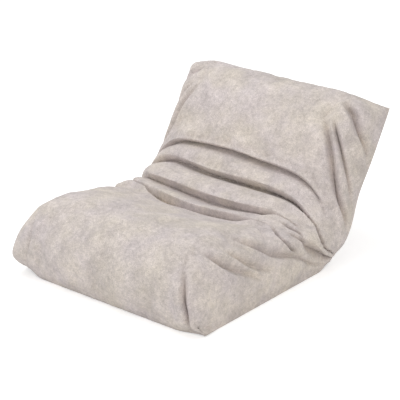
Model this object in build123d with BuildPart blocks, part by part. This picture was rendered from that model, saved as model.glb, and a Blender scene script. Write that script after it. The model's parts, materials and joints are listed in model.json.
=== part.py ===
"""A floor lounger bean bag: a removable cover sewn from five panels, two bead bags inside it, and their zips.

Millimetres, +Z up. The seat faces -Y, and the origin is on the floor, at the middle of the whole footprint.
"""
import math
import os

from build123d import *

# Overall shape, seen from the side
BASE_WIDTH = 900.0  # across the panel on the floor
BASE_LENGTH = 785.0  # front seam to rear seam on the floor
BACK_LEAN = 32.4  # degrees from upright
BACK_LENGTH = 650.0  # up the rear panel, floor seam to top seam, at the middle
BACK_THICKNESS = 184.0  # of the filled backrest, at right angles to the rear panel
KNEE_HEIGHT = 296.0  # the roll at the front of the seat
KNEE_SETBACK = 165.0  # front seam to the top of that roll
FRONT_BULGE = 46.0  # how far the filled front stands ahead of its floor seam
POCKET_HEIGHT = 222.0  # the hollow that the hips sink into
POCKET_SETBACK = 160.0  # rear seam to the bottom of that hollow
BEND_RISE = 205.0  # up the rear panel to the inner bend of seat and backrest
TOP_DROP = 24.0  # how much lower the top seam lies at its ends

# How the filling thins out towards the sides
EDGE_SHARE = 0.25  # of the middle's thickness, left at the side seams
EDGE_POWER = 7.0  # a larger power keeps the middle flat for longer
STATIONS = (0.0, 0.35, 0.62, 0.80, 0.91, 0.97, 1.0)  # of the half width, where the shape is worked out
SIDE_BAND = 65.0  # width of a side panel, seen from above

# Rolls of spare cloth and beads across the bend, measured over the seat from the front seam
CREASES = (805.0, 916.0, 1030.0, 1128.0)  # the lines between the rolls, at the middle
CREASE_REACH = 50.0  # a crease's half width
CREASE_DEPTH = 27.0
ROLL_RISE = 14.0  # the crown of a roll, above the smooth filling
ROLLS_START, ROLLS_END = 700.0, 1225.0
ROLLS_MEET = 960.0  # towards the sides the creases draw together here
ROLLS_GATHER = 0.55

# Cloth
COVER_CLOTH = 3.0  # plush with its backing
BASE_CLOTH = 2.0  # woven floor panel
LINER_CLOTH = 1.0
EASE = 0.5  # between one layer and the next
REAR_EASE = 3.5  # behind the bags, where the zips' insides run
BAFFLE_EASE = 3.5  # between the two bags
BAFFLE_FOOT = 185.0  # rear seam to the foot of the line between the bags

# Zips
TAPE_WIDTH = 15.0
TAPE_THICKNESS = 0.5
TAPE_TAIL = 12.0  # tape past each end of the chain
CHAIN_WIDTH = 2.3  # one side's teeth
CHAIN_HEIGHT = 2.2
CHAIN_PARTING = 1.8  # between the two sides, for the slider's wedge
SLIDER_LENGTH = 12.0
SLIDER_PLATE = 1.2
SLIDER_FLANGE = 0.8
SLIDER_FLARE = 1.0  # how much wider the slider's nose is than its tail
WEDGE_LENGTH = 2.4
SLOT_CLEARANCE = 0.7  # from the slider to the folded cloth edge, on each side
STOP_LENGTH = 2.6
STOP_RISE = 0.5  # how far a stop stands above the teeth
RUNNING_GAP = 0.3
BRIDGE_WIDTH = 2.4
BRIDGE_LENGTH = 8.0
BRIDGE_RISE = 3.4
BRIDGE_BAR = 0.9
PULL_BAR_RADIUS = 0.75
PULL_WIDTH = 7.0
PULL_ARM = 1.6
PULL_THICKNESS = 1.2
PULL_WINDOW = 6.6  # the pull's eye, from its bar to the tab
PULL_LENGTH = 30.0
LOCK_LENGTH = 5.0  # the ridge that takes a paper clip on a lock slider
COVER_ZIP_RISE = 75.0  # up the rear panel to the closed end
COVER_ZIP_HEADROOM = 155.0  # from its open end to the top seam
LINER_ZIP_LENGTH = 360.0
SEAT_LINER_ZIP_RISE = 115.0  # up the line between the bags
BACK_LINER_ZIP_DROP = 80.0  # below the top seam

OVERCUT = 6.0  # the rough body runs past its flat faces and is then trimmed to them

lean = math.radians(BACK_LEAN)
side_seam = BASE_WIDTH / 2 - SIDE_BAND
cover_zip_length = BACK_LENGTH - COVER_ZIP_RISE - COVER_ZIP_HEADROOM
channel_width = CHAIN_PARTING + 2 * (CHAIN_WIDTH + RUNNING_GAP)
tail_width = channel_width + 2 * SLIDER_FLANGE
nose_width = tail_width + SLIDER_FLARE
slot_width = nose_width + 2 * SLOT_CLEARANCE


def side_view(share, shift=0.0):
    """The outline over front, seat and backrest, as (y, z), where the filling has this share of its thickness."""
    front = -BASE_LENGTH / 2 + shift
    rear = BASE_LENGTH / 2 + shift
    pocket = rear - POCKET_SETBACK
    knee = front + KNEE_SETBACK
    slope = (knee + pocket) / 2

    def on_back(along, inward):
        y = rear + along * math.sin(lean) - inward * math.cos(lean)
        return y, along * math.cos(lean) + inward * math.sin(lean)

    top = BACK_LENGTH - TOP_DROP
    pairs = [  # (where the outline lies with no filling, where it lies at the middle)
        ((front, -OVERCUT), (front, -OVERCUT)),
        ((front, 0.02 * KNEE_HEIGHT), (front - FRONT_BULGE, 0.30 * KNEE_HEIGHT)),
        ((front, 0.02 * KNEE_HEIGHT), (front - 0.72 * FRONT_BULGE, 0.62 * KNEE_HEIGHT)),
        ((front + 0.3 * KNEE_SETBACK, 0.0), (front + 0.16 * KNEE_SETBACK, 0.88 * KNEE_HEIGHT)),
        ((knee, 0.0), (knee, KNEE_HEIGHT)),
        ((slope, 0.0), (slope, 0.3 * KNEE_HEIGHT + 0.7 * POCKET_HEIGHT)),
        ((pocket + 0.15 * POCKET_SETBACK, 0.0), (pocket, POCKET_HEIGHT)),
        (on_back(0.0, 0.0), on_back(BEND_RISE, 0.99 * BACK_THICKNESS)),
        (on_back(0.45 * top, 0.0), on_back(0.56 * BACK_LENGTH, 1.02 * BACK_THICKNESS)),
        (on_back(0.75 * top, 0.0), on_back(0.79 * BACK_LENGTH, 1.01 * BACK_THICKNESS)),
        (on_back(0.93 * top, 0.0), on_back(0.92 * BACK_LENGTH, 0.80 * BACK_THICKNESS)),
        (on_back(0.99 * top, 0.0), on_back(0.985 * BACK_LENGTH, 0.45 * BACK_THICKNESS)),
        (on_back(top, -OVERCUT), on_back(BACK_LENGTH, -OVERCUT)),
    ]
    return [tuple(a + share * (b - a) for a, b in zip(bare, full)) for bare, full in pairs]


def fractions():
    """Where along an outline it is worked out: closer together across the rolls."""
    start, end = ROLLS_START / OUTLINE_LENGTH, ROLLS_END / OUTLINE_LENGTH
    spans = ((0.0, start, 20), (start, end, 38), (end, 1.0, 16))
    return [a + (b - a) * k / count for a, b, count in spans for k in range(count)] + [1.0]


def across_rolls(along):
    """1 in the middle of the rolls, falling smoothly to 0 where they start and end."""
    x = (2 * along - ROLLS_START - ROLLS_END) / (ROLLS_END - ROLLS_START)
    return (1 - x**4) ** 2 if abs(x) < 1 else 0.0


def gathered(along, station):
    """Where this place in the middle lies at this share of the half width: the rolls draw together sideways."""
    return along + ROLLS_GATHER * station**2 * across_rolls(along) * (ROLLS_MEET - along)


def relief(along, station):
    """How far the rolls lift the surface here, and the creases sink it."""
    total = ROLL_RISE * across_rolls(along)
    for crease in CREASES:
        away = (along - crease) / CREASE_REACH
        if abs(away) < 1:
            total -= (CREASE_DEPTH + ROLL_RISE) * math.cos(math.pi * away / 2) ** 2
    return total * (1 - abs(station) ** 3)


def rolled_outline(station):
    """The outline with its rolls, at this share of the half width."""
    weight = (thickness_share(station) - EDGE_SHARE) / (1 - EDGE_SHARE)
    alongs = [fraction * OUTLINE_LENGTH for fraction in fractions()]
    smooth = []
    for along in alongs:
        place = gathered(along, station) / OUTLINE_LENGTH
        smooth.append((EDGE_OUTLINE @ place) * (1 - weight) + (MIDDLE_OUTLINE @ place) * weight)
    points = [(smooth[0].X, smooth[0].Y)]
    for before, here, after, along in zip(smooth, smooth[1:], smooth[2:], alongs[1:]):
        run, rise = after.X - before.X, after.Y - before.Y
        step = relief(along, station) / math.hypot(run, rise)
        points.append((here.X - step * rise, here.Y + step * run))
    return [*points, (smooth[-1].X, smooth[-1].Y)]


def inset_outline(points, inset):
    """The same outline, drawn this much further in. Its two ends stay on their trimming lines."""
    moved = []
    for before, here, after in zip(points, points[1:], points[2:]):
        run, rise = after[0] - before[0], after[1] - before[1]
        step = inset / math.hypot(run, rise)
        moved.append((here[0] + step * rise, here[1] - step * run))
    first = (points[0][0] + inset, points[0][1])
    last = (points[-1][0] - inset * math.sin(lean), points[-1][1] - inset * math.cos(lean))
    return [first, *moved, last]


def smooth_line(points):
    """One smooth line through the points."""
    with BuildLine() as line:
        Spline(*points)
    return line.edges()[0]


def outline_face(points, rear_corner, parameters=None):
    """The face between the outline and the two overcut lines under and behind it."""
    with BuildSketch() as filled:
        with BuildLine():
            outline = Edge.make_spline([Vector(*point) for point in points], parameters=parameters)
            add(outline)
            Polyline(outline @ 1, rear_corner, outline @ 0)
        make_face()
    return filled.sketch


def overcut_corner(rear_seam):
    """Where the overcut lines under the floor face and behind the rear face meet."""
    return rear_seam + OVERCUT * (1 - math.sin(lean)) / math.cos(lean), -OVERCUT


def middle_shift():
    """How far along Y the shape moves so that its whole depth is centred on the origin."""
    box = outline_face(side_view(1.0), overcut_corner(BASE_LENGTH / 2)).bounding_box()
    return -(box.min.X + box.max.X - OVERCUT * math.cos(lean)) / 2


SHIFT = middle_shift()
FRONT_SEAM = -BASE_LENGTH / 2 + SHIFT
REAR_SEAM = BASE_LENGTH / 2 + SHIFT
INTO_BACK = Vector(0, -math.cos(lean), math.sin(lean))
UP_BACK = Vector(0, math.sin(lean), math.cos(lean))
ACROSS = Vector(1, 0, 0)
rear_face = Plane(origin=(0, REAR_SEAM, 0), x_dir=ACROSS, z_dir=INTO_BACK)

outline_points = side_view(1.0, SHIFT)
MIDDLE_OUTLINE = smooth_line(outline_points)
OUTLINE_LENGTH = MIDDLE_OUTLINE.length
EDGE_OUTLINE = smooth_line(side_view(EDGE_SHARE, SHIFT))
bend_y = (outline_points[6][0] + outline_points[7][0]) / 2
bend_z = (outline_points[6][1] + outline_points[7][1]) / 2
baffle_foot = Vector(0, REAR_SEAM - BAFFLE_FOOT, 0)
up_baffle = (Vector(0, bend_y, bend_z) - baffle_foot).normalized()
baffle_face = Plane(origin=baffle_foot, x_dir=ACROSS, z_dir=ACROSS.cross(up_baffle))  # faces the seat


def thickness_share(station):
    """The share of the middle's thickness at this share of the half width."""
    return EDGE_SHARE + (1 - EDGE_SHARE) * math.sqrt(1 - abs(station) ** EDGE_POWER)


def soft_body(inset, floor, behind):
    """The filled shape, inset on its curved sides, with its flat faces this far above the floor and inside the rear."""
    half_width = BASE_WIDTH / 2 - inset
    stations = [-s for s in reversed(STATIONS[1:])] + list(STATIONS)
    with BuildPart() as body:
        for station in stations:
            with BuildSketch(Plane.YZ.offset(station * half_width)):
                points = inset_outline(rolled_outline(station), inset)
                add(outline_face(points, overcut_corner(REAR_SEAM), fractions()))
        loft()
        split(bisect_by=Plane.XY.offset(floor), keep=Keep.TOP)
        split(bisect_by=rear_face.offset(behind), keep=Keep.TOP)
    return body.part


parts = {}


def finish(name, part):
    """Names a finished piece and keeps it for export."""
    part.label = name
    parts[name] = part


# Cover: floor panel, rear panel, face panel over front, seat and backrest, and two side panels
whole = soft_body(0.0, 0.0, 0.0)
room_inside = soft_body(COVER_CLOTH, BASE_CLOTH, COVER_CLOTH)

with BuildPart() as base_panel:
    add(whole)
    split(bisect_by=Plane.XY.offset(BASE_CLOTH), keep=Keep.BOTTOM)
finish("base_panel", base_panel.part)

zip_frame = Plane(
    origin=rear_face.origin + UP_BACK * COVER_ZIP_RISE, x_dir=-ACROSS, z_dir=-INTO_BACK
)

with BuildPart() as rear_panel:
    add(whole)
    split(bisect_by=Plane.XY.offset(BASE_CLOTH), keep=Keep.TOP)
    split(bisect_by=rear_face.offset(COVER_CLOTH), keep=Keep.BOTTOM)
    with BuildSketch(zip_frame):
        with Locations((0, cover_zip_length / 2)):
            SlotOverall(cover_zip_length + TAPE_TAIL, slot_width, rotation=90)
    extrude(amount=-2 * COVER_CLOTH, mode=Mode.SUBTRACT)
finish("rear_panel", rear_panel.part)

with BuildPart() as skin:
    add(whole)
    split(bisect_by=Plane.XY.offset(BASE_CLOTH), keep=Keep.TOP)
    split(bisect_by=rear_face.offset(COVER_CLOTH), keep=Keep.TOP)
    add(room_inside, mode=Mode.SUBTRACT)

with BuildPart() as face_panel:
    add(skin.part)
    split(bisect_by=Plane.YZ.offset(-side_seam), keep=Keep.TOP)
    split(bisect_by=Plane.YZ.offset(side_seam), keep=Keep.BOTTOM)
finish("face_panel", face_panel.part)

for hand, seam, kept in (("left", -side_seam, Keep.BOTTOM), ("right", side_seam, Keep.TOP)):
    with BuildPart() as side_panel:
        add(skin.part)
        split(bisect_by=Plane.YZ.offset(seam), keep=kept)
    finish(f"{hand}_side_panel", side_panel.part)


def zip_fastener(name, frame, length, wall, with_pull):
    """One zip. The frame's origin is at the closed end, on the cloth's outside, with Y along the zip and Z outwards."""
    tape_top = -wall
    tape_under = tape_top - TAPE_THICKNESS
    chain_top = tape_top + CHAIN_HEIGHT
    rail_centre = (CHAIN_PARTING + CHAIN_WIDTH) / 2
    for hand, sign in (("left", -1), ("right", 1)):
        with BuildPart() as tape:
            with BuildSketch(frame.offset(tape_under)):
                with Locations((sign * (CHAIN_PARTING + TAPE_WIDTH) / 2, length / 2)):
                    Rectangle(TAPE_WIDTH, length + 2 * TAPE_TAIL)
            extrude(amount=TAPE_THICKNESS)
        finish(f"{name}_tape_{hand}", tape.part)
        with BuildPart() as chain:
            with BuildSketch(frame.offset(tape_top)):
                with Locations((sign * rail_centre, length / 2)):
                    Rectangle(CHAIN_WIDTH, length)
            extrude(amount=CHAIN_HEIGHT)
            fillet(chain.faces().sort_by(Axis(frame.origin, frame.z_dir))[-1].edges(), CHAIN_WIDTH / 5)
        finish(f"{name}_chain_{hand}", chain.part)

    with BuildPart() as stops:
        with BuildSketch(frame.offset(tape_top)):
            closed_end = -RUNNING_GAP - STOP_LENGTH / 2
            with Locations((-rail_centre, closed_end), (rail_centre, closed_end)):
                Rectangle(CHAIN_WIDTH, STOP_LENGTH)
            with Locations((0, length + RUNNING_GAP + STOP_LENGTH / 2)):
                Rectangle(CHAIN_PARTING + 2 * CHAIN_WIDTH, STOP_LENGTH)
        extrude(amount=CHAIN_HEIGHT + STOP_RISE)
    finish(f"{name}_stops", stops.part)

    nose, tail = nose_width / 2, tail_width / 2
    flange_foot = tape_top + RUNNING_GAP
    plate_under = chain_top + RUNNING_GAP
    lower_top = tape_under - RUNNING_GAP
    slider_top = plate_under + SLIDER_PLATE
    with BuildPart() as slider:
        with BuildSketch(frame.offset(lower_top)) as shield:
            Polygon((-nose, 0), (nose, 0), (tail, SLIDER_LENGTH), (-tail, SLIDER_LENGTH), align=None)
            fillet(shield.vertices(), SLIDER_FLANGE)
        extrude(amount=-SLIDER_PLATE)
        with BuildSketch(frame.offset(plate_under)):
            add(shield.sketch_local)
        extrude(amount=SLIDER_PLATE)
        with BuildSketch(frame.offset(flange_foot)):
            add(shield.sketch_local)
            offset(shield.sketch_local, amount=-SLIDER_FLANGE, mode=Mode.SUBTRACT)
            Rectangle(channel_width, 3 * SLIDER_LENGTH, mode=Mode.SUBTRACT)
        extrude(amount=plate_under - flange_foot)
        with BuildSketch(frame.offset(lower_top)):
            with Locations((0, SLIDER_FLANGE + WEDGE_LENGTH / 2)):
                Rectangle(CHAIN_PARTING - 2 * RUNNING_GAP, WEDGE_LENGTH)
        extrude(amount=plate_under - lower_top)
        ridge_length = BRIDGE_LENGTH if with_pull else LOCK_LENGTH
        ridge_rise = BRIDGE_RISE if with_pull else BRIDGE_BAR / 2
        with BuildSketch(frame.offset(slider_top)):
            with Locations((0, SLIDER_LENGTH / 2)):
                SlotOverall(ridge_length, BRIDGE_WIDTH, rotation=90)
        extrude(amount=ridge_rise)
        if with_pull:
            eye_height = BRIDGE_RISE - BRIDGE_BAR
            side_of_bridge = Plane(
                origin=frame.from_local_coords(Vector(0, SLIDER_LENGTH / 2, slider_top + eye_height / 2)),
                x_dir=frame.y_dir,
                z_dir=frame.x_dir,
            )
            with BuildSketch(side_of_bridge):
                Rectangle(BRIDGE_LENGTH - 2 * BRIDGE_BAR, eye_height)
            extrude(amount=BRIDGE_WIDTH, both=True, mode=Mode.SUBTRACT)
    finish(f"{name}_slider", slider.part)

    if with_pull:
        pivot = frame.from_local_coords(Vector(0, SLIDER_LENGTH / 2, slider_top + eye_height / 2))
        hanging = Plane(origin=pivot, x_dir=frame.x_dir, z_dir=frame.x_dir.cross(Vector(0, 0, -1)))
        with BuildPart() as pull:
            with BuildSketch(hanging.offset(-PULL_THICKNESS / 2)):
                with Locations((0, PULL_LENGTH / 2)):
                    RectangleRounded(PULL_WIDTH, PULL_LENGTH, PULL_ARM)
                with Locations((0, PULL_WINDOW / 2)):
                    Rectangle(PULL_WIDTH - 2 * PULL_ARM, PULL_WINDOW, mode=Mode.SUBTRACT)
            extrude(amount=PULL_THICKNESS)
            with BuildSketch(Plane(origin=pivot, x_dir=Vector(0, 0, 1), z_dir=frame.x_dir)):
                Circle(PULL_BAR_RADIUS)
            extrude(amount=PULL_WIDTH / 2, both=True)
        finish(f"{name}_pull", pull.part)
        return pivot
    return None


pull_pivot = zip_fastener("cover_zip", zip_frame, cover_zip_length, COVER_CLOTH, with_pull=True)


def bead_bag(name, boundary, kept, outward, bag_frame):
    """A liner bag with its zip, and the beads that fill it. The boundary is the face that it turns to the other bag."""
    ease = BAFFLE_EASE / 2
    layers = []
    for depth in (0.0, LINER_CLOTH, LINER_CLOTH + EASE):
        with BuildPart() as layer:
            add(soft_body(COVER_CLOTH + EASE + depth, BASE_CLOTH + EASE + depth, COVER_CLOTH + REAR_EASE + depth))
            split(bisect_by=boundary.offset(outward * (ease + depth)), keep=kept)
        layers.append(layer.part)
    bag_outside, bag_inside, filling = layers

    with BuildPart() as liner:
        add(bag_outside)
        add(bag_inside, mode=Mode.SUBTRACT)
        with BuildSketch(bag_frame):
            with Locations((0, LINER_ZIP_LENGTH / 2)):
                SlotOverall(LINER_ZIP_LENGTH + TAPE_TAIL, slot_width, rotation=90)
        extrude(amount=-2 * LINER_CLOTH, mode=Mode.SUBTRACT)
    finish(f"{name}_liner", liner.part)
    zip_fastener(f"{name}_liner_zip", bag_frame, LINER_ZIP_LENGTH, LINER_CLOTH, with_pull=False)

    with BuildPart() as beads:
        add(filling)
        with BuildSketch(bag_frame):
            with Locations((0, LINER_ZIP_LENGTH / 2)):
                Rectangle(CHAIN_PARTING + 2 * (TAPE_WIDTH + EASE), LINER_ZIP_LENGTH + 2 * (TAPE_TAIL + EASE))
        hollow = LINER_CLOTH + TAPE_THICKNESS + RUNNING_GAP + SLIDER_PLATE + EASE
        extrude(amount=-hollow, mode=Mode.SUBTRACT)
    finish(f"{name}_beads", beads.part)


seat_zip_frame = Plane(
    origin=baffle_face.origin
    + up_baffle * SEAT_LINER_ZIP_RISE
    + baffle_face.z_dir * (BAFFLE_EASE / 2)
    - ACROSS * (LINER_ZIP_LENGTH / 2),
    x_dir=up_baffle,
    z_dir=-baffle_face.z_dir,
)
bead_bag("seat", baffle_face, Keep.TOP, 1, seat_zip_frame)

back_zip_frame = Plane(
    origin=rear_face.origin
    + UP_BACK * (BACK_LENGTH - BACK_LINER_ZIP_DROP)
    + INTO_BACK * (COVER_CLOTH + REAR_EASE)
    - ACROSS * (LINER_ZIP_LENGTH / 2),
    x_dir=UP_BACK,
    z_dir=-INTO_BACK,
)
bead_bag("back", baffle_face, Keep.BOTTOM, -1, back_zip_frame)

os.makedirs("parts", exist_ok=True)
for name, part in parts.items():
    export_step(part, f"parts/{name}.step")
print("origin shift", round(SHIFT, 2), "front seam", round(FRONT_SEAM, 2), "rear seam", round(REAR_SEAM, 2))
print("pull pivot", pull_pivot)
print("zip directions: cover", zip_frame.y_dir, "liners", seat_zip_frame.y_dir, back_zip_frame.y_dir)
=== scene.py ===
# %% [markdown]
# # A floor lounger bean bag in brushed plush
# The real chair is only cloth and beads: a loose cover is pulled over two bags of foam beads and zipped
# shut. It has no frame, so everything that the eye reads as its shape is cloth under tension, and cloth
# that has nowhere to go. This lesson builds that cloth on top of a CAD frame that already holds the sizes
# and the zips.

# %% Load the frame
import json
import math

import bmesh
import bpy
import numpy as np
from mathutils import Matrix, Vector
from mathutils.bvhtree import BVHTree
from mathutils.kdtree import KDTree


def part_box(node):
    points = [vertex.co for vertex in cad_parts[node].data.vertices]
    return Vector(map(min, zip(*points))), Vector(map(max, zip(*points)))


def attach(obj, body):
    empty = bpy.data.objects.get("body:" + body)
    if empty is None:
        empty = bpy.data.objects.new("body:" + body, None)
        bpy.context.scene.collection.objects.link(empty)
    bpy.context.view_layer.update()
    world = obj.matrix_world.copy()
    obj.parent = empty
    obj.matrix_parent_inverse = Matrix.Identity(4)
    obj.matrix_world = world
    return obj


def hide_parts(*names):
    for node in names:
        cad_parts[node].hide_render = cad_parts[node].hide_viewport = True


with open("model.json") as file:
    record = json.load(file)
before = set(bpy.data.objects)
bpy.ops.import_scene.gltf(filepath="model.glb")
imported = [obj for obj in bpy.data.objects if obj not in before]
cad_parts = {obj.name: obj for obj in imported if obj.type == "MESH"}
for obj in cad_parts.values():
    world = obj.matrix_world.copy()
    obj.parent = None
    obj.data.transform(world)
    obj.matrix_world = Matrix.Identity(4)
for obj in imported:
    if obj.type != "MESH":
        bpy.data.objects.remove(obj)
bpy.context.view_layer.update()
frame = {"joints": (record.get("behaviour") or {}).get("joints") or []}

bpy.ops.object.select_all(action="DESELECT")

# %% [markdown]
# The camera comes first, because every choice of fold and light is judged through it. It looks at the chair
# from its front right and 22 degrees down, as someone standing some way off does, through a long lens, which
# keeps the sides nearly parallel.

# %% Camera
AZIMUTH, ELEVATION = math.radians(39.5), math.radians(22.0)
DISTANCE = 5.71
LOOK_AT = Vector((-0.008, 0.007, 0.2217))
towards_camera = Vector((
    math.sin(AZIMUTH) * math.cos(ELEVATION),
    -math.cos(AZIMUTH) * math.cos(ELEVATION),
    math.sin(ELEVATION),
))
bpy.ops.object.camera_add(location=LOOK_AT + DISTANCE * towards_camera)
camera = bpy.context.object
camera.rotation_mode = "QUATERNION"
camera.rotation_quaternion = (-towards_camera).to_track_quat("-Z", "Y")
camera.data.lens = 135
camera.data.sensor_width = 36
bpy.context.scene.camera = camera

# %% [markdown]
# The cover rests on two flat faces: the floor panel and the rear panel. Both are read from the frame, and
# the direction up the rear panel is the direction in which the cover's zip runs.

# %% Read the driving sizes
FRONT_INSET, REAR_INSET, TOP_INSET = 0.002, 0.001, 0.004
floor_low, floor_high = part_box("base_panel")
HALF_WIDTH = floor_high.x
FRONT = floor_low.y + FRONT_INSET
REAR = floor_high.y - REAR_INSET
joints = {joint["name"]: joint for joint in frame["joints"]}
UP_BACK = np.array(joints["cover_zip_slide"]["axis"])
OUT_BACK = np.array([0.0, UP_BACK[2], -UP_BACK[1]])
BACK_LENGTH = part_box("rear_panel")[1].z / UP_BACK[2]
LEAN = math.atan2(UP_BACK[1], UP_BACK[2])
print("half width", HALF_WIDTH, "front", FRONT, "rear", REAR, "back length", round(BACK_LENGTH, 3))

# %% [markdown]
# ## The cover's cloth
# A cushion of this kind is cut flat and takes its shape from its filling. So the cloth is laid out here in
# cloth coordinates: how far *along* it runs, from the front seam over seat and backrest to the top seam,
# and how far *across* it, from the middle line out and down over the side. One arch, taller or lower,
# serves as every cross-section, and one side view sets how high the arch stands.

# %% Side view of the filled cover
FRONT_BULGE = 0.046
KNEE_HEIGHT, KNEE_SETBACK = 0.296, 0.165
POCKET_HEIGHT, POCKET_SETBACK = 0.222, 0.160
BEND_RISE, BACK_THICKNESS = 0.205, 0.184


def on_back(up, inward):
    """A point in the side view, this far up the rear panel and this far in from it."""
    return (
        REAR + up * math.sin(LEAN) - inward * math.cos(LEAN),
        up * math.cos(LEAN) + inward * math.sin(LEAN),
    )


pocket = REAR - POCKET_SETBACK
knee = FRONT + KNEE_SETBACK
slope = (knee + pocket) / 2
top = BACK_LENGTH - TOP_INSET
empty_line = np.array([
    (FRONT, 0), (FRONT, 0.02 * KNEE_HEIGHT), (FRONT, 0.02 * KNEE_HEIGHT), (FRONT + 0.3 * KNEE_SETBACK, 0),
    (knee, 0), (slope, 0), (pocket + 0.15 * POCKET_SETBACK, 0), on_back(0, 0), on_back(0.45 * top, 0),
    on_back(0.75 * top, 0), on_back(0.93 * top, 0), on_back(0.99 * top, 0), on_back(top, 0),
])
full_line = np.array([
    (FRONT, 0), (FRONT - FRONT_BULGE, 0.3 * KNEE_HEIGHT), (FRONT - 0.72 * FRONT_BULGE, 0.62 * KNEE_HEIGHT),
    (FRONT + 0.16 * KNEE_SETBACK, 0.88 * KNEE_HEIGHT), (knee, KNEE_HEIGHT),
    (slope, 0.3 * KNEE_HEIGHT + 0.7 * POCKET_HEIGHT), (pocket, POCKET_HEIGHT),
    on_back(BEND_RISE, 0.99 * BACK_THICKNESS), on_back(0.56 * BACK_LENGTH, 1.02 * BACK_THICKNESS),
    on_back(0.79 * BACK_LENGTH, 1.01 * BACK_THICKNESS), on_back(0.92 * BACK_LENGTH, 0.8 * BACK_THICKNESS),
    on_back(0.985 * BACK_LENGTH, 0.45 * BACK_THICKNESS), on_back(BACK_LENGTH, 0),
])


def lengths_along(points):
    """The distance from a line's first point to each of its points."""
    steps = np.linalg.norm(np.diff(points, axis=0), axis=1)
    return np.concatenate([[0.0], np.cumsum(steps)])


def smooth_line(knots, values, where):
    """A natural cubic spline through the values."""
    count, gap = len(knots), np.diff(knots)
    matrix, target = np.eye(count), np.zeros((count, values.shape[1]))
    for i in range(1, count - 1):
        matrix[i, i - 1:i + 2] = gap[i - 1], 2 * (gap[i - 1] + gap[i]), gap[i]
        target[i] = 6 * ((values[i + 1] - values[i]) / gap[i] - (values[i] - values[i - 1]) / gap[i - 1])
    bend = np.linalg.solve(matrix, target)
    k = np.clip(np.searchsorted(knots, where) - 1, 0, count - 2)
    past, ahead, g = (where - knots[k])[:, None], (knots[k + 1] - where)[:, None], gap[k][:, None]
    return (bend[k] * ahead**3 + bend[k + 1] * past**3) / (6 * g) \
        + (values[k] / g - bend[k] * g / 6) * ahead + (values[k + 1] / g - bend[k + 1] * g / 6) * past


# %% [markdown]
# Cloth needs small faces where it creases and large ones where it lies smooth. So the rows of the grid
# stand close together at the bend, and its columns stand close together on the sides.

# %% Helpers for smooth changes and for spacing
SPACING_SAMPLES = 6000


def bell(x):
    """1 at zero, falling smoothly to 0 at 1 and -1."""
    return np.where(np.abs(x) < 1, np.cos(np.clip(x, -1, 1) * math.pi / 2)**2, 0.0)


def ramp(x, start, end):
    """0 before start, 1 after end, and smooth between them."""
    t = np.clip((np.asarray(x, float) - start) / (end - start), 0, 1)
    return t * t * (3 - 2 * t)


def spaced(length, step_at):
    """Places from 0 to length, spaced by about step_at(place)."""
    fine = np.linspace(0, length, SPACING_SAMPLES)
    count = np.concatenate([[0], np.cumsum(np.diff(fine) / step_at((fine[1:] + fine[:-1]) / 2))])
    return np.interp(np.linspace(0, count[-1], int(round(count[-1] / 2)) * 2 + 1), count, fine)


# %% Rows and columns, closer where the cloth creases
EDGE_SHARE, EDGE_POWER = 0.25, 7.0
ARCH_HEIGHT, MEAN_FILL = 0.22, 0.9
ROW_GAP, ROW_CLOSER, INTO_BEND, OUT_OF_BEND = 0.0072, 0.0034, (0.64, 0.72), (1.15, 1.24)
COLUMN_GAP, COLUMN_CLOSER, ONTO_SIDE = 0.0090, 0.0040, (0.24, 0.32)
ARCH_SAMPLES, LINE_SAMPLES = 4001, 3000


def row_step(place):
    """Row spacing at a place along the cloth: finest in the bend."""
    return ROW_GAP - ROW_CLOSER * ramp(place, *INTO_BEND) * (1 - ramp(place, *OUT_OF_BEND))


def column_step(place):
    """Column spacing, measured from the middle line outwards: finest on the sides."""
    return COLUMN_GAP - COLUMN_CLOSER * ramp(np.abs(place), *ONTO_SIDE)


spread = np.linspace(-1, 1, ARCH_SAMPLES)
crown = EDGE_SHARE + (1 - EDGE_SHARE) * np.sqrt(1 - np.abs(spread)**EDGE_POWER)
arch = np.vstack([[-HALF_WIDTH, 0], np.column_stack([spread * HALF_WIDTH, crown]), [HALF_WIDTH, 0]])
arch_lengths = lengths_along(arch * [1, ARCH_HEIGHT])
HALF_GIRTH = arch_lengths[-1] / 2

knots = lengths_along(full_line)
line_places = np.linspace(0, knots[-1], LINE_SAMPLES)
full_places = smooth_line(knots, full_line, line_places)
empty_places = smooth_line(knots, empty_line, line_places)
along_places = lengths_along(empty_places + MEAN_FILL * (full_places - empty_places))
CLOTH_LENGTH = along_places[-1]
print("cloth: half girth", round(HALF_GIRTH, 3), "length", round(CLOTH_LENGTH, 3))

# %% [markdown]
# The filled cover without its creases is one grid of points. The same function lays a coarse grid, which
# the cloth simulation can settle in seconds, and the fine one that is kept.

# %% Where the walls stand, and the ears at the top
EAR_LENGTH, EAR_WIDTH, EAR_WALL, EAR_POWER = 0.19, 0.17, 0.015, 1.3
EAR_SOFTNESS, EAR_LEAST, EAR_STRENGTH, EAR_START = 7, 0.03, 0.92, (0, 0.45)
NEAR_REAR_SEAM = 0.25


def foot_line(edge):
    """Where the wall below each row's edge stands. Returns the row of the rear seam, those places, and each
    row's share of the rear panel's length."""
    over_rear = -((edge[:, 0] - REAR) * OUT_BACK[1] + edge[:, 1] * OUT_BACK[2])
    far_off = np.abs(edge[:, 0] - REAR) > NEAR_REAR_SEAM
    corner = int(np.argmin(np.abs(edge[:, 1] - over_rear) + far_off))
    edge_along = lengths_along(edge)
    floor_part = edge_along[:corner + 1] / edge_along[corner]
    back_part = (edge_along[corner:] - edge_along[corner]) / (edge_along[-1] - edge_along[corner])
    foot = np.zeros((len(edge), 2))
    foot[:corner + 1, 0] = FRONT + floor_part * (REAR - FRONT)
    foot[corner:] = [on_back(up, 0) for up in back_part * top]
    return corner, foot, back_part


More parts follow.
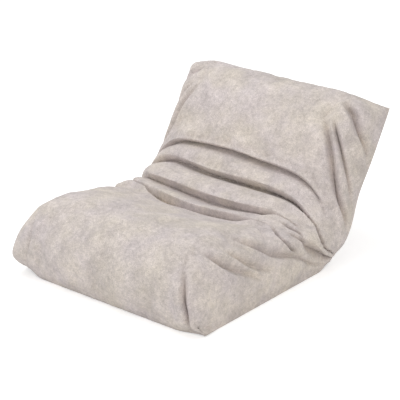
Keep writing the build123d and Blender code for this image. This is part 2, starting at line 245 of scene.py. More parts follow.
def filling_share(arch_x, arch_share, rows):
    """How far the filling lifts each point: by the arch, and less towards the two ears at the top seam."""
    to_top = np.clip((rows - (CLOTH_LENGTH - EAR_LENGTH)) / EAR_LENGTH, 0, 1)
    from_side = (HALF_WIDTH - np.abs(arch_x))[:, None] / (EAR_WALL + EAR_WIDTH * to_top**EAR_POWER)
    ear = 1 - np.log(1 + np.exp(EAR_SOFTNESS * (1 - from_side))) / EAR_SOFTNESS
    ear = np.clip(ear, EAR_LEAST, 1) * np.minimum(arch_share[:, None] / EDGE_SHARE, 1)
    blend = EAR_STRENGTH * ramp(to_top, *EAR_START)
    return arch_share[:, None] * (1 - blend) + blend * ear


# %% Lay a grid of cloth over the filling
SIDE_BULGE, BULGE_TOP, BULGE_ROWS = 0.007, 0.8, 0.97
POCKET_SAG, SAG_PLACE, SAG_LENGTH, SAG_WIDTH = 0.016, 0.72, 0.30, 0.44
TINY = 1e-9


def lay_cloth(coarser):
    """The smooth filled cover as a grid. Returns its points, its columns and rows in cloth coordinates, the
    row of the rear seam, and the points of the floor and rear panels that close it."""
    rows = spaced(CLOTH_LENGTH, lambda place: coarser * row_step(place))
    columns = spaced(2 * HALF_GIRTH, lambda place: coarser * column_step(place - HALF_GIRTH)) - HALF_GIRTH
    arch_x = np.interp(columns + HALF_GIRTH, arch_lengths, arch[:, 0])
    arch_share = np.interp(columns + HALF_GIRTH, arch_lengths, arch[:, 1])
    at_row = np.interp(rows, along_places, line_places)
    full_rows = smooth_line(knots, full_line, at_row)
    empty_rows = smooth_line(knots, empty_line, at_row)
    corner, foot, back_part = foot_line(empty_rows + EDGE_SHARE * (full_rows - empty_rows))

    share = filling_share(arch_x, arch_share, rows)
    over = empty_rows + share[:, :, None] * (full_rows - empty_rows)
    wall_top = over[int(np.argmax(arch_share >= EDGE_SHARE - TINY))]
    up_wall = foot + (arch_share / EDGE_SHARE)[:, None, None] * (wall_top - foot)
    cover = np.zeros((len(columns), len(rows), 3))
    cover[:, :, 0] = arch_x[:, None]
    cover[:, :, 1:] = np.where((arch_share < EDGE_SHARE)[:, None, None], up_wall, over)
    up_side = np.sin(np.pi * np.clip(arch_share / BULGE_TOP, 0, 1))[:, None]
    rounding = up_side * bell((rows / CLOTH_LENGTH * 2 - 1) * BULGE_ROWS)
    cover[:, :, 0] += np.sign(arch_x)[:, None] * SIDE_BULGE * rounding
    cover[:, :, 2] -= POCKET_SAG * bell((rows - SAG_PLACE) / SAG_LENGTH) * bell(arch_x[:, None] / SAG_WIDTH)

    wall = int(np.sum(arch_share[:len(columns) // 2] < EDGE_SHARE - TINY))
    flat = slice(wall, len(columns) - wall)
    floor = np.zeros((len(columns[flat]), corner + 1, 3))
    floor[:, :, 0] = arch_x[flat, None]
    floor[:, :, 1] = foot[None, :corner + 1, 0]
    rear = np.zeros((len(columns[flat]), len(rows) - corner, 3))
    top_up = cover[flat, -1, 1:] @ UP_BACK[1:] - REAR * UP_BACK[1]
    rear[:, :, 0] = arch_x[flat, None]
    rear[:, :, 1] = REAR + back_part * top_up[:, None] * UP_BACK[1]
    rear[:, :, 2] = back_part * top_up[:, None] * UP_BACK[2]
    return cover, columns, rows, corner, floor, rear


# %% [markdown]
# A bean bag's corners are never square. The front corners are drawn up off the floor, one more than the
# other, and where seat and backrest meet the sides bulge out over the rear seam, because the beads collect
# there.

# %% Soften the corners
CORNER_SQUASH = [1, 1, 1.6]
FRONT_LEFT_MOVE, FRONT_LEFT_REACH = (0.030, 0.014, 0.020), 0.15
FRONT_RIGHT_MOVE, FRONT_RIGHT_REACH = (0.006, 0.022, 0.004), 0.12
REAR_DRAW, REAR_LIFT, REAR_REACH, REAR_WIDTH = 0.014, 0.010, 0.10, 0.09
REAR_BULGE, BULGE_WIDTH, LEFT_BULGE = 0.022, 0.14, -0.2
BULGE_HEIGHT, BULGE_BEHIND = (0.13, 0.16), (0.05, 0.22)
LEFT_SLACK, BACKREST_SLACK, SLACK_HEIGHT = 0.011, 0.016, (0.40, 0.20)
SLACK_SIDE, SLACK_INWARD = (0.26, 0.45), (0.01, 0.14)
RIGHT_LEAN, LEAN_HEIGHT, LEAN_FROM = 0.009, (0.38, 0.25), 0.36
TOP_DROOP, DROOP_FROM, DROOP_HEIGHT = 0.012, 0.20, (0.40, 0.56)


def around(value, middle, reach):
    """1 at the middle, falling smoothly to 0 at this reach to either side."""
    return bell((value - middle) / reach)


def near(points, place, reach):
    """1 at a place, falling smoothly to 0 at this distance from it."""
    return bell(np.linalg.norm(points - np.array(place), axis=-1) / reach)


def rear_corner(points, reach, width):
    """1 at the two lower rear corners, falling smoothly to 0 at this distance from the rear seam, and at
    this distance from the sides."""
    at_seam = near(points * [0, 1, 1], (0, REAR, 0), reach)
    return at_seam * ramp(np.abs(points[..., 0]), HALF_WIDTH - width, HALF_WIDTH)


def soften(points):
    """Moves points of any panel by the same amount where the panels meet."""
    x, y, z = points[..., 0], points[..., 1], points[..., 2]
    left = near(points * CORNER_SQUASH, (-HALF_WIDTH, FRONT, 0), FRONT_LEFT_REACH)
    right = near(points * CORNER_SQUASH, (HALF_WIDTH, FRONT, 0), FRONT_RIGHT_REACH)
    moved = left[..., None] * FRONT_LEFT_MOVE + right[..., None] * FRONT_RIGHT_MOVE
    rear = rear_corner(points, REAR_REACH, REAR_WIDTH)
    moved[..., 0] -= np.sign(x) * REAR_DRAW * rear
    moved[..., 2] += REAR_LIFT * rear
    beads = around(z, *BULGE_HEIGHT) * around(y - REAR, *BULGE_BEHIND)
    beads *= ramp(np.abs(x), HALF_WIDTH - BULGE_WIDTH, HALF_WIDTH)
    moved[..., 0] += np.where(x > 0, 1.0, LEFT_BULGE) * REAR_BULGE * beads
    inward = z * UP_BACK[1] - (y - REAR) * UP_BACK[2]
    slack = ramp(-x, *SLACK_SIDE) * around(z, *SLACK_HEIGHT) * ramp(inward, *SLACK_INWARD)
    moved[..., 0] += LEFT_SLACK * slack
    moved[..., 2] -= TOP_DROOP * (ramp(x, DROOP_FROM, HALF_WIDTH) * ramp(z, *DROOP_HEIGHT))
    moved[..., 0] += RIGHT_LEAN * ramp(x, LEAN_FROM, HALF_WIDTH) * around(z, *LEAN_HEIGHT)
    return points + moved + BACKREST_SLACK * slack[..., None] * OUT_BACK


# %% [markdown]
# ### Folds
# At the bend there is more cloth than surface, so it hangs in rolls. The two upper folds open downwards:
# the backrest's cloth hangs over them like a lip, and the roll below starts deep in its shadow. The two
# lower ones open upwards: each roll shows its dark underside and ends on a crisp line where it meets the
# next. On the sides all of them run together at the lower rear corner, where the seams hold the cloth
# tight.
#
# A fold is a line on the cloth, given as points of: across, along (metres), then depth, reach above the
# line and reach below it (millimetres). The lines are laid one by one, as a tailor would chalk them on the
# cloth.

# %% Fold lines at the bend
BEND_FOLDS = [
    [(-0.52, 1.03, 0, 8, 12), (-0.434, 1.07, 21, 10, 28), (-0.35, 1.10, 37, 12, 42),
     (-0.20, 1.12, 50, 14, 55), (-0.03, 1.125, 57, 15, 62), (0.10, 1.115, 57, 17, 62),
     (0.24, 1.10, 47, 20, 52), (0.32, 1.08, 35, 18, 32), (0.38, 1.055, 22, 13, 14),
     (0.423, 1.03, 10, 10, 10), (0.45, 1.0, 0, 8, 8)],
    [(-0.55, 1.03, 0, 8, 10), (-0.447, 1.012, 26, 10, 32), (-0.359, 1.022, 39, 12, 45),
     (-0.16, 1.013, 58, 14, 58), (0.04, 1.009, 63, 15, 60), (0.24, 1.003, 57, 15, 50),
     (0.34, 0.985, 44, 13, 32), (0.407, 0.967, 38, 12, 16), (0.456, 0.972, 38, 11, 14),
     (0.503, 0.99, 33, 10, 12), (0.555, 1.015, 16, 8, 9), (0.59, 1.03, 0, 8, 8)],
    [(-0.49, 0.95, 0, 10, 8), (-0.417, 0.93, 24, 24, 10), (-0.35, 0.905, 39, 29, 12),
     (-0.23, 0.885, 54, 35, 13), (-0.05, 0.872, 59, 37, 14), (0.14, 0.872, 56, 35, 14),
     (0.27, 0.885, 42, 26, 12), (0.33, 0.886, 36, 17, 11), (0.375, 0.888, 26, 11, 10),
     (0.42, 0.90, 0, 8, 8)],
    [(-0.46, 0.86, 0, 10, 8), (-0.381, 0.835, 25, 14, 10), (-0.29, 0.803, 40, 21, 14),
     (-0.19, 0.775, 52, 32, 17), (0.0, 0.752, 52, 34, 18), (0.13, 0.757, 50, 30, 12),
     (0.23, 0.775, 46, 25, 11), (0.28, 0.795, 32, 15, 10), (0.33, 0.81, 12, 8, 8), (0.36, 0.82, 0, 8, 8)],
]

# %% Creases on the sides, running together at the lower rear corner
SIDE_CREASES = [
    [(0.46, 0.74, 0, 14, 14), (0.497, 0.815, 18, 17, 15), (0.545, 0.879, 16, 17, 15),
     (0.575, 0.96, 0, 12, 12)],
    [(0.325, 0.81, 0, 9, 14), (0.375, 0.788, 34, 12, 24), (0.418, 0.78, 52, 13, 30),
     (0.443, 0.791, 40, 12, 26), (0.475, 0.813, 0, 9, 14)],
    [(0.335, 0.86, 0, 9, 10), (0.375, 0.853, 28, 12, 16), (0.405, 0.865, 33, 12, 18),
     (0.433, 0.89, 0, 9, 10)],
    [(0.395, 0.815, 0, 12, 9), (0.439, 0.851, 28, 21, 12), (0.471, 0.89, 54, 34, 12),
     (0.513, 0.946, 60, 35, 12), (0.555, 0.990, 32, 15, 9), (0.585, 1.008, 0, 10, 8)],
    [(0.345, 0.52, 0, 24, 24), (0.384, 0.578, 23, 28, 24), (0.41, 0.621, 35, 30, 24),
     (0.434, 0.661, 35, 33, 24), (0.471, 0.768, 22, 28, 24), (0.51, 0.85, 0, 21, 21)],
    [(0.36, 0.35, 0, 24, 24), (0.406, 0.38, 27, 27, 24), (0.434, 0.408, 38, 30, 27),
     (0.466, 0.475, 36, 33, 28), (0.497, 0.562, 18, 33, 28), (0.53, 0.65, 0, 24, 24)],
    [(0.40, 0.44, 0, 24, 24), (0.443, 0.518, 25, 28, 24), (0.476, 0.598, 25, 28, 24),
     (0.492, 0.669, 0, 24, 24)],
    [(0.30, 1.36, 0, 19, 19), (0.332, 1.314, 23, 24, 24), (0.375, 1.243, 35, 25, 26),
     (0.406, 1.179, 41, 26, 26), (0.448, 1.12, 37, 26, 26), (0.517, 1.092, 28, 24, 24),
     (0.59, 1.088, 0, 19, 19)],
    [(0.34, 1.36, 0, 14, 16), (0.365, 1.33, 20, 17, 18), (0.414, 1.262, 29, 19, 21),
     (0.452, 1.207, 26, 19, 21), (0.497, 1.167, 20, 19, 21), (0.56, 1.13, 0, 14, 16)],
    [(0.35, 1.46, 0, 22, 25), (0.365, 1.433, 31, 26, 28), (0.406, 1.401, 49, 32, 30),
     (0.434, 1.373, 47, 32, 30), (0.483, 1.33, 35, 26, 29), (0.53, 1.302, 22, 22, 25),
     (0.585, 1.27, 0, 18, 21)],
    [(0.365, 0.27, 0, 19, 15), (0.378, 0.241, 17, 26, 21), (0.396, 0.214, 28, 30, 24),
     (0.414, 0.174, 36, 31, 25), (0.434, 0.142, 31, 31, 25), (0.439, 0.083, 20, 27, 22),
     (0.44, 0.04, 0, 23, 19)],
]
FRONT_LEFT_CREASE = [
    (-0.37, 0.29, 0, 12, 12), (-0.356, 0.253, 5, 14, 14), (-0.332, 0.194, 9, 16, 16),
    (-0.332, 0.142, 9, 16, 16), (-0.347, 0.083, 4, 14, 14), (-0.355, 0.04, 0, 12, 12),
]


def mirrored(folds, onward, share):
    """The same creases on the other side, moved along by up to this much, at this share of their depth."""
    return [
        [(-a, b + onward * math.sin(7 * b), share * depth, below, above)
         for a, b, depth, above, below in points[::-1]]
        for points in folds
    ]


LEFT_ONWARD, LEFT_SHARE = 0.018, 0.60
LEFT_CREASES = mirrored(SIDE_CREASES[:-1], LEFT_ONWARD, LEFT_SHARE) + [FRONT_LEFT_CREASE]
ALL_FOLDS = BEND_FOLDS + SIDE_CREASES + LEFT_CREASES

# %% Directions on the cloth and smooth lines
def facing(points):
    """The outward direction at each point of a grid of cloth."""
    d_across, d_along = np.gradient(points, axis=0), np.gradient(points, axis=1)
    normal = np.cross(d_across, d_along)
    return normal / np.maximum(np.linalg.norm(normal, axis=2), TINY)[..., None]


def curve_through(points, count=160):
    """A smooth line through a fold's points, evenly spaced."""
    points = np.array(points, float)
    at = lengths_along(points[:, :2])
    return smooth_line(at, points, np.linspace(0, at[-1], count))


# %% The shape of one fold
CLOSE_TO_FOLD = 0.11
LEAST_REACH, TAIL = 4, 0.05
STEP_FROM, STEP_LONGER, HALF_STEP = (0.008, 0.020), 3, 0.5
ROLL_FLOOR, ROLL_CREST, STEP_RAISES_FLOOR = 0.65, 0.35, 0.30
STEP_CREST_ABOVE, STEP_CREST_BELOW = 0.25, -0.35
WIDE_REACH, WIDE_CURVE, NARROW_CURVE = 0.022, 1.35, 0.9
LIP_DEPTH, LIP_PLACE, LIP_LENGTH, LIP_MARGIN = 0.32, 1.2, 2.2, 0.006
OVER_REACH, OVER_DEPTH, OVER_MARGIN = 0.9, 0.25, 0.010
DEEP_ROLL, DEEP_STEP, LINE_WIDTH = (0.008, 0.03), (0.020, 0.048), 0.004
IN_FOLD, PAST_FOLD, PAST_MARGIN, SHALLOW = 0.8, 1.6, 0.012, (0.002, 0.010)


def fold(points, across, along):
    """How far one fold lifts each point of the cloth off the filling, how far it drags it along the cloth,
    and how much the point belongs to the fold, from 0 to 1."""
    line = curve_through(points)
    lift, drag, part = np.zeros(across.shape), np.zeros(across.shape), np.zeros(across.shape)
    (first_across, first_along), (last_across, last_along) = line[:, :2].min(axis=0), line[:, :2].max(axis=0)
    close = (across > first_across - CLOSE_TO_FOLD) & (across < last_across + CLOSE_TO_FOLD) \
        & (along > first_along - CLOSE_TO_FOLD) & (along < last_along + CLOSE_TO_FOLD)

    # For each point, the nearest place of the fold line, how far away it is and on which side.
    d_across = across[close][:, None] - line[:, 0]
    d_along = along[close][:, None] - line[:, 1]
    nearest = np.argmin(d_across**2 + d_along**2, axis=1)
    pick = np.arange(len(nearest)), nearest
    away = np.hypot(d_across[pick], d_along[pick])
    run = np.gradient(line[:, :2], axis=0)[nearest]
    above = run[:, 0] * d_along[pick] - run[:, 1] * d_across[pick] > 0
    depth = np.clip(line[:, 2], 0, None)[nearest] / 1000
    reach_above, reach_below = np.clip(line[nearest, 3:].T, LEAST_REACH, None) / 1000

    # Where a fold reaches much further above than below, it is a step: one roll lies down over the next.
    step = ramp(reach_above - reach_below, *STEP_FROM)
    reach = np.where(above, reach_above, reach_below * (1 + STEP_LONGER * step))
    low = ROLL_FLOOR - STEP_RAISES_FLOOR * step
    high = ROLL_CREST + step * np.where(above, STEP_CREST_ABOVE, STEP_CREST_BELOW)
    curve = np.where((reach > WIDE_REACH) & (step < HALF_STEP), WIDE_CURVE, NARROW_CURVE)
    rise = np.sin(np.clip(away / reach, 0, 1)**curve * math.pi / 2)
    lift[close] = depth * (-low + (low + high) * rise - high * ramp(away, reach, reach + TAIL))

    # The cloth above the line is drawn over it: a little as a lip, much further as a step's overhang.
    lip = LIP_DEPTH * depth * bell((away - LIP_PLACE * reach) / (LIP_LENGTH * reach + LIP_MARGIN))
    overhang = (OVER_REACH * reach + OVER_DEPTH * depth) * bell((away - reach) / (reach + OVER_MARGIN))
    forward = (1 - step) * lip + step * overhang
    deep = (1 - step) * ramp(depth, *DEEP_ROLL) + step * ramp(depth, *DEEP_STEP)
    drag[close] = -forward * above * deep * ramp(away, 0, LINE_WIDTH)
    past = ramp(away, IN_FOLD * reach, PAST_FOLD * reach + PAST_MARGIN)
    part[close] = (1 - past) * ramp(depth, *SHALLOW)
    return lift, drag, part


# %% Add folds to the cloth
CREST_FADE, FOLD_FADE = 0.012, (0.014, 0.014, 0.014)


def off_seams(across, along, side, front, top_seam):
    """0 at the seams, where the cloth is held, rising to 1 over these distances from the side seams, the
    front seam and the top seam."""
    return ramp(HALF_GIRTH - np.abs(across), 0, side) * ramp(along, 0, front) \
        * ramp(CLOTH_LENGTH - along, 0, top_seam)


def crease(points, across, along, folds):
    """Adds folds to a grid of cloth points. At the seams they fade out. Returns the creased points, and how
    much each belongs to a fold."""
    onward = np.gradient(points, axis=1)
    onward /= np.maximum(np.linalg.norm(onward, axis=2), TINY)[..., None]
    outward = facing(points)
    crest, valley, drag, part = (np.zeros(across.shape) for _ in range(4))
    for line in folds:
        one_lift, one_drag, one_part = fold(line, across, along)
        crest += np.maximum(one_lift, 0)
        valley = np.minimum(valley, one_lift)
        drag += one_drag
        part = np.maximum(part, one_part)
    lift = valley + crest * (1 - ramp(-valley, 0, CREST_FADE))
    held = off_seams(across, along, *FOLD_FADE)[..., None]
    return points + (outward * lift[..., None] + onward * drag[..., None]) * held, part


# %% Gentle waves, and faces over a grid
WAVES = 40


def unevenness(across, along, seed, shortest, longest, height):
    """Gentle waves in random directions, the short ones lower than the long ones."""
    random = np.random.default_rng(seed)
    total = np.zeros(across.shape)
    for _ in range(WAVES):
        length = shortest * (longest / shortest)**random.random()
        angle, phase = random.random(2) * 2 * math.pi
        onward = across * math.cos(angle) + along * math.sin(angle)
        total += length * np.sin(onward * 2 * math.pi / length + phase)
    return height * total / (longest * 3)


def grid_faces(columns, rows, offset=0, flip=False):
    """Quads over a grid of points, numbered column by column."""
    i, j = np.meshgrid(np.arange(columns - 1), np.arange(rows - 1), indexing="ij")
    a = offset + i * rows + j
    corners = [a, a + 1, a + rows + 1, a + rows]
    if flip:
        corners = [a, a + rows, a + rows + 1, a + 1]
    return np.stack(corners, axis=-1).reshape(-1, 4)


# %% Helpers for pieces of mesh
def new_piece(name, points, faces):
    """A piece made of points and faces, put into the scene."""
    mesh = bpy.data.meshes.new(name)
    mesh.from_pydata(points.tolist(), [], faces.tolist())
    piece = bpy.data.objects.new(name, mesh)
    bpy.context.collection.objects.link(piece)
    return piece


def select_only(piece):
    """Selects one piece alone."""
    bpy.ops.object.select_all(action="DESELECT")
    bpy.context.view_layer.objects.active = piece
    piece.select_set(True)


def edit(piece):
    """Selects one piece alone and opens it in edit mode, with all of it selected."""
    select_only(piece)
    bpy.ops.object.mode_set(mode="EDIT")
    bpy.ops.mesh.select_all(action="SELECT")


def values_of(owner, count, name, width=1):
    """A value of each of this many points, corners or faces, as an array."""
    values = np.zeros(count * width, np.float32)
    owner.foreach_get(name, values)
    return values.reshape(count, width) if width > 1 else values


def add_values(mesh, name, values):
    """Gives each point of a mesh one value under this name."""
    mesh.attributes.new(name, "FLOAT", "POINT").data.foreach_set("value", values.astype(np.float32))


# %% [markdown]
# ### Let the cloth settle
# Drawn folds alone look combed. So the coarse grid is closed with its floor and rear panels and pumped up a
# little as cloth with a few percent to spare, while the seams and the bottoms of the deep folds stay
# pinned. What the simulation moved is then added to the fine grid, through the cloth's own coordinates.
# Gravity stays off, because the filling carries the cloth everywhere.

# %% A coarse closed cover, pinned at its seams and folds
COARSER, COARSE_WELD = 2.3, 0.0009
PINNED_WIDTH, PINNED_DEPTH = 0.006, 9
OFF_GRID = 9


def pinned(across, along):
    """Which points of the grid stay put: those at the seams and at the bottoms of the deep folds."""
    held = np.zeros(across.shape, bool)
    held[[0, -1]] = held[:, [0, -1]] = True
    for line in ALL_FOLDS:
        curve = curve_through(line)
        away = (across[..., None] - curve[:, 0])**2 + (along[..., None] - curve[:, 1])**2
        depth = curve[np.argmin(away, axis=-1), 2]
        held |= (away.min(axis=-1) < PINNED_WIDTH**2) & (depth > PINNED_DEPTH)
    return held


def coarse_cover():
    """The coarse creased cover, closed, with each point's cloth coordinates. OFF_GRID marks the closing
    panels."""
    points, columns, rows, _, floor, rear = lay_cloth(COARSER)
    across = np.broadcast_to(columns[:, None], points.shape[:2])
    along = np.broadcast_to(rows, points.shape[:2])
    points, _ = crease(soften(points), across, along, ALL_FOLDS)
    blocks = [points, soften(floor), soften(rear)]
    starts = np.cumsum([0] + [block[..., 0].size for block in blocks])
    faces = [
        grid_faces(*block.shape[:2], offset=start, flip=block is not points)
        for block, start in zip(blocks, starts)
    ]
    piece = new_piece("settling", np.vstack([block.reshape(-1, 3) for block in blocks]), np.vstack(faces))
    closing = starts[-1] - starts[1]
    for name, values, fill in (
        ("across", across, OFF_GRID), ("along", along, OFF_GRID), ("held", pinned(across, along), 1),
    ):
        add_values(piece.data, name, np.concatenate([values.reshape(-1), np.full(closing, fill)]))
    edit(piece)
    bpy.ops.mesh.remove_doubles(threshold=COARSE_WELD)
    bpy.ops.mesh.normals_make_consistent(inside=False)
    bpy.ops.object.mode_set(mode="OBJECT")
    return piece


# %% Settle it as cloth
SLACK, PRESSURE, GRAVITY, FRAMES = -0.03, 3.0, 0.0, 20
MOST_MOVED = 0.022


def settle():
    """Simulates the coarse cover. Returns the cloth coordinates of its points and how far each one moved."""
    piece = coarse_cover()
    count = len(piece.data.vertices)
    across, along, held = [
        values_of(piece.data.attributes[name].data, count, "value") for name in ("across", "along", "held")
    ]
    before = values_of(piece.data.vertices, count, "co", 3)
    piece.vertex_groups.new(name="held").add(np.nonzero(held > 0.5)[0].tolist(), 1.0, "REPLACE")
    cloth = piece.modifiers.new("Settle", "CLOTH")
    settings = cloth.settings
    settings.quality = 5
    settings.mass = 0.3
    settings.tension_stiffness = settings.compression_stiffness = 12
    settings.shear_stiffness = 6
    settings.bending_stiffness = 0.6
    settings.vertex_group_mass = "held"
    settings.shrink_min = SLACK
    settings.use_pressure = True
    settings.uniform_pressure_force = PRESSURE
    settings.effector_weights.gravity = GRAVITY
    cloth.collision_settings.use_collision = False
    for number in range(1, FRAMES + 1):
        bpy.context.scene.frame_set(number)
    bpy.ops.object.modifier_apply(modifier=cloth.name)
    moved = values_of(piece.data.vertices, count, "co", 3) - before
    far = np.linalg.norm(moved, axis=1)
    print("settling moved the cloth by", round(float(far.mean()) * 1000, 1), "mm on average")
    print("and by", round(float(far.max()) * 1000, 1), "mm at most")
    moved *= (MOST_MOVED * np.tanh(far / MOST_MOVED) / np.maximum(far, TINY))[:, None]
    kept = across < OFF_GRID / 2
    bpy.data.objects.remove(piece)
    return np.column_stack([across, along])[kept], moved[kept]


# %% Carry the movement over to a finer grid
NEIGHBOURS, SOFTER = 4, 0.002
BROAD, BROAD_SHARE = 0.09, 0.85


def blur(places, reach):
    """Weights that replace each value along a line by the mean of its surroundings."""
    weights = np.exp(-((places[:, None] - places) / reach)**2)
    return weights / weights.sum(axis=1, keepdims=True)


def carry_over(columns, rows):
    """What settling moved, for each point of a fine grid, without the broad swelling."""
    places, coarse_moved = settle()
    lookup = KDTree(len(places))
    for number, (a, b) in enumerate(places):
        lookup.insert((a, b, 0), number)
    lookup.balance()
    moved = np.zeros((len(columns), len(rows), 3))
    for i, a in enumerate(columns):
        for j, b in enumerate(rows):
            found = lookup.find_n((a, b, 0), NEIGHBOURS)
            weights = [1 / (distance + SOFTER)**2 for _, _, distance in found]
            moved[i, j] = sum(w * coarse_moved[n] for w, (_, n, _) in zip(weights, found)) / sum(weights)
    by_column, by_row = blur(columns, BROAD), blur(rows, BROAD)
    return moved - BROAD_SHARE * np.einsum("ai,bj,ijk->abk", by_column, by_row, moved, optimize=True)


# %% The fine cover: shape, creases, and what settling moved
SETTLE_FADE, TIP_CALM = (0.01, 0.01, 0.10), (0.03, 0.12)
WAVE_SEED, WAVE_LENGTHS, WAVE_HEIGHT = 5, (0.05, 0.30), 0.0030
WAVE_FADE, FOLD_CALM = (0.02, 0.04, 0.14), 0.7
SIDE_LIMIT, SIDE_GIVE = 0.014, 0.016
cover, columns, rows, _, floor_cloth, rear_cloth = lay_cloth(1)
across = np.broadcast_to(columns[:, None], cover.shape[:2])
along = np.broadcast_to(rows, cover.shape[:2])
print("fine grid", cover.shape[:2])
cover, in_fold = crease(soften(cover), across, along, ALL_FOLDS)
floor_cloth, rear_cloth = soften(floor_cloth), soften(rear_cloth)
on_crown = np.clip(HALF_GIRTH - EDGE_SHARE * ARCH_HEIGHT - np.abs(across), 0, None)
from_tip = ramp(np.hypot(on_crown, CLOTH_LENGTH - along), *TIP_CALM)
moved = carry_over(columns, rows)
held = off_seams(across, along, *SETTLE_FADE)
cover += moved * (held * from_tip * (1 - in_fold))[..., None]
outward = facing(cover)
held = off_seams(across, along, *WAVE_FADE)
waves = unevenness(across, along, WAVE_SEED, *WAVE_LENGTHS, WAVE_HEIGHT)
cover += outward * (held * from_tip * (1 - FOLD_CALM * in_fold) * waves)[..., None]
cover[..., 2] = np.maximum(cover[..., 2], 0.0)
beyond = np.clip(np.abs(cover[..., 0]) - HALF_WIDTH - SIDE_LIMIT, 0, None)
cover[..., 0] -= np.sign(cover[..., 0]) * (beyond - SIDE_GIVE * np.tanh(beyond / SIDE_GIVE))

# %% [markdown]
# ### Five panels
# The real cover is sewn from five panels, so it is cut into five pieces here as well. Each gets its cloth's
# thickness and a cut edge. Cutting the finished shape keeps the folds running on from panel to panel, which
# panels made one by one wouldn't do.

# %% Press in the two side seams
SIDE_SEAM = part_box("face_panel")[1].x
SEAM_DEPTH, SEAM_WIDTH = 0.0006, 0.004
arch_x = np.interp(columns + HALF_GIRTH, arch_lengths, arch[:, 0])
left_seam = int(np.argmin(np.abs(arch_x + SIDE_SEAM)))
right_seam = int(np.argmin(np.abs(arch_x - SIDE_SEAM)))
for seam in (left_seam, right_seam):
    near_seam = np.exp(-((columns - columns[seam]) / SEAM_WIDTH)**2)
    cover -= outward * (SEAM_DEPTH * near_seam[:, None] * held)[..., None]
outward = facing(cover)
print("side seams at columns", left_seam, "and", right_seam, "of", len(columns))

# %% Make one panel
TIP_REACH, TIP_THINNING, TIP_THINNEST = 0.12, 1.1, 0.17
WELD, FINE_WELD = 0.0003, 0.0001


def corner_normals(mesh):
    """The normals that a panel's faces use at their corners: the cloth's own, but the face's on the cut
    edge."""
    of_point = values_of(mesh.attributes["cloth_normal"].data, len(mesh.vertices), "vector", 3)
    is_inside = values_of(mesh.attributes["is_inside"].data, len(mesh.vertices), "value")
    of_face = values_of(mesh.polygons, len(mesh.polygons), "normal", 3)
    point = np.array([loop.vertex_index for loop in mesh.loops])
    face = np.repeat(np.arange(len(mesh.polygons)), [polygon.loop_total for polygon in mesh.polygons])
    share_inside = np.bincount(face, is_inside[point]) / np.bincount(face)
    on_rim = ((share_inside > 0.01) & (share_inside < 0.99))[face]
    return np.where(on_rim[:, None], of_face[face], of_point[point])


def panel(name, points, outward, thickness):
    """One panel of cloth: its outside, its inside this much further in, and the cut edge between them. Both
    sides carry the normals of the whole cover, so that the light runs on over the seams."""
    columns, rows = points.shape[:2]
    count = columns * rows
    in_tip = sum(near(points, (sign * HALF_WIDTH, *on_back(top, 0)), TIP_REACH) for sign in (-1, 1))
    thick = np.clip(1 - TIP_THINNING * in_tip, TIP_THINNEST, 1)[..., None] * thickness
    both = np.vstack([points.reshape(-1, 3), (points - thick * outward).reshape(-1, 3)])
    outside = grid_faces(columns, rows, flip=True)
    number = np.arange(count).reshape(columns, rows)
    border = np.concatenate([number[:-1, 0], number[-1, :-1], number[:0:-1, -1], number[0, :0:-1]])
    onward = np.roll(border, -1)
    rim = np.column_stack([onward, border, border + count, onward + count])
    piece = new_piece(name, both, np.vstack([outside, outside[:, ::-1] + count, rim]))
    mesh = piece.data
    normals = np.vstack([outward.reshape(-1, 3), -outward.reshape(-1, 3)])
    stored = mesh.attributes.new("cloth_normal", "FLOAT_VECTOR", "POINT")
    stored.data.foreach_set("vector", normals.reshape(-1))
    add_values(mesh, "is_inside", np.repeat([0.0, 1.0], count))
    edit(piece)
    bpy.ops.mesh.remove_doubles(threshold=WELD)
    bpy.ops.mesh.dissolve_degenerate(threshold=FINE_WELD)
    bpy.ops.object.mode_set(mode="OBJECT")
    bpy.ops.object.shade_smooth()
    mesh.normals_split_custom_set(corner_normals(mesh).tolist())
    for used in ("cloth_normal", "is_inside"):
        mesh.attributes.remove(mesh.attributes[used])
    return piece


# %% Cut the cover into its panels
PLUSH_CLOTH, FLOOR_CLOTH = 0.003, 0.002
face, left, right = slice(left_seam, right_seam + 1), slice(left_seam + 1), slice(right_seam, None)
floor_cloth, rear_cloth = floor_cloth[:, ::-1], rear_cloth[:, ::-1]
cover_panels = {
    "face_panel": panel("cover_face", cover[face], outward[face], PLUSH_CLOTH),
    "left_side_panel": panel("cover_left_side", cover[left], outward[left], PLUSH_CLOTH),
    "right_side_panel": panel("cover_right_side", cover[right], outward[right], PLUSH_CLOTH),
    "rear_panel": panel("cover_rear", rear_cloth, facing(rear_cloth), PLUSH_CLOTH),
    "base_panel": panel("cover_base", floor_cloth, facing(floor_cloth), FLOOR_CLOTH),
}
print("cover panels made")
for node, piece in cover_panels.items():
    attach(piece, "chair")
    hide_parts(node)
    area = sum(polygon.area for polygon in piece.data.polygons)
    print(node, "faces", len(piece.data.polygons), "area", round(area, 4))

# %% [markdown]
# ## The two bags of beads
# Nobody sees them while the zips are closed, yet they are what carries the sitter. The cover presses on
# them, so they fill it everywhere except in the deep folds. The filled shape is laid once more as a coarser
# grid, and then sunk wherever it would come through the creased cover, a little deeper each round, until it
# lies inside.

# %% Draw the bags in at their corners
BAG_COARSER = 2.0
TIGHT_REACH, TIGHT_MOVE = 0.10, (0.016, 0.014, 0)
LIFTED_REACH, LIFTED_MOVE = 0.17, (0, 0, 0.006)
REAR_TIGHT_REACH, REAR_TIGHT_MOVE, OFF_REAR = 0.14, (0.012, 0, 0.007), 0.008


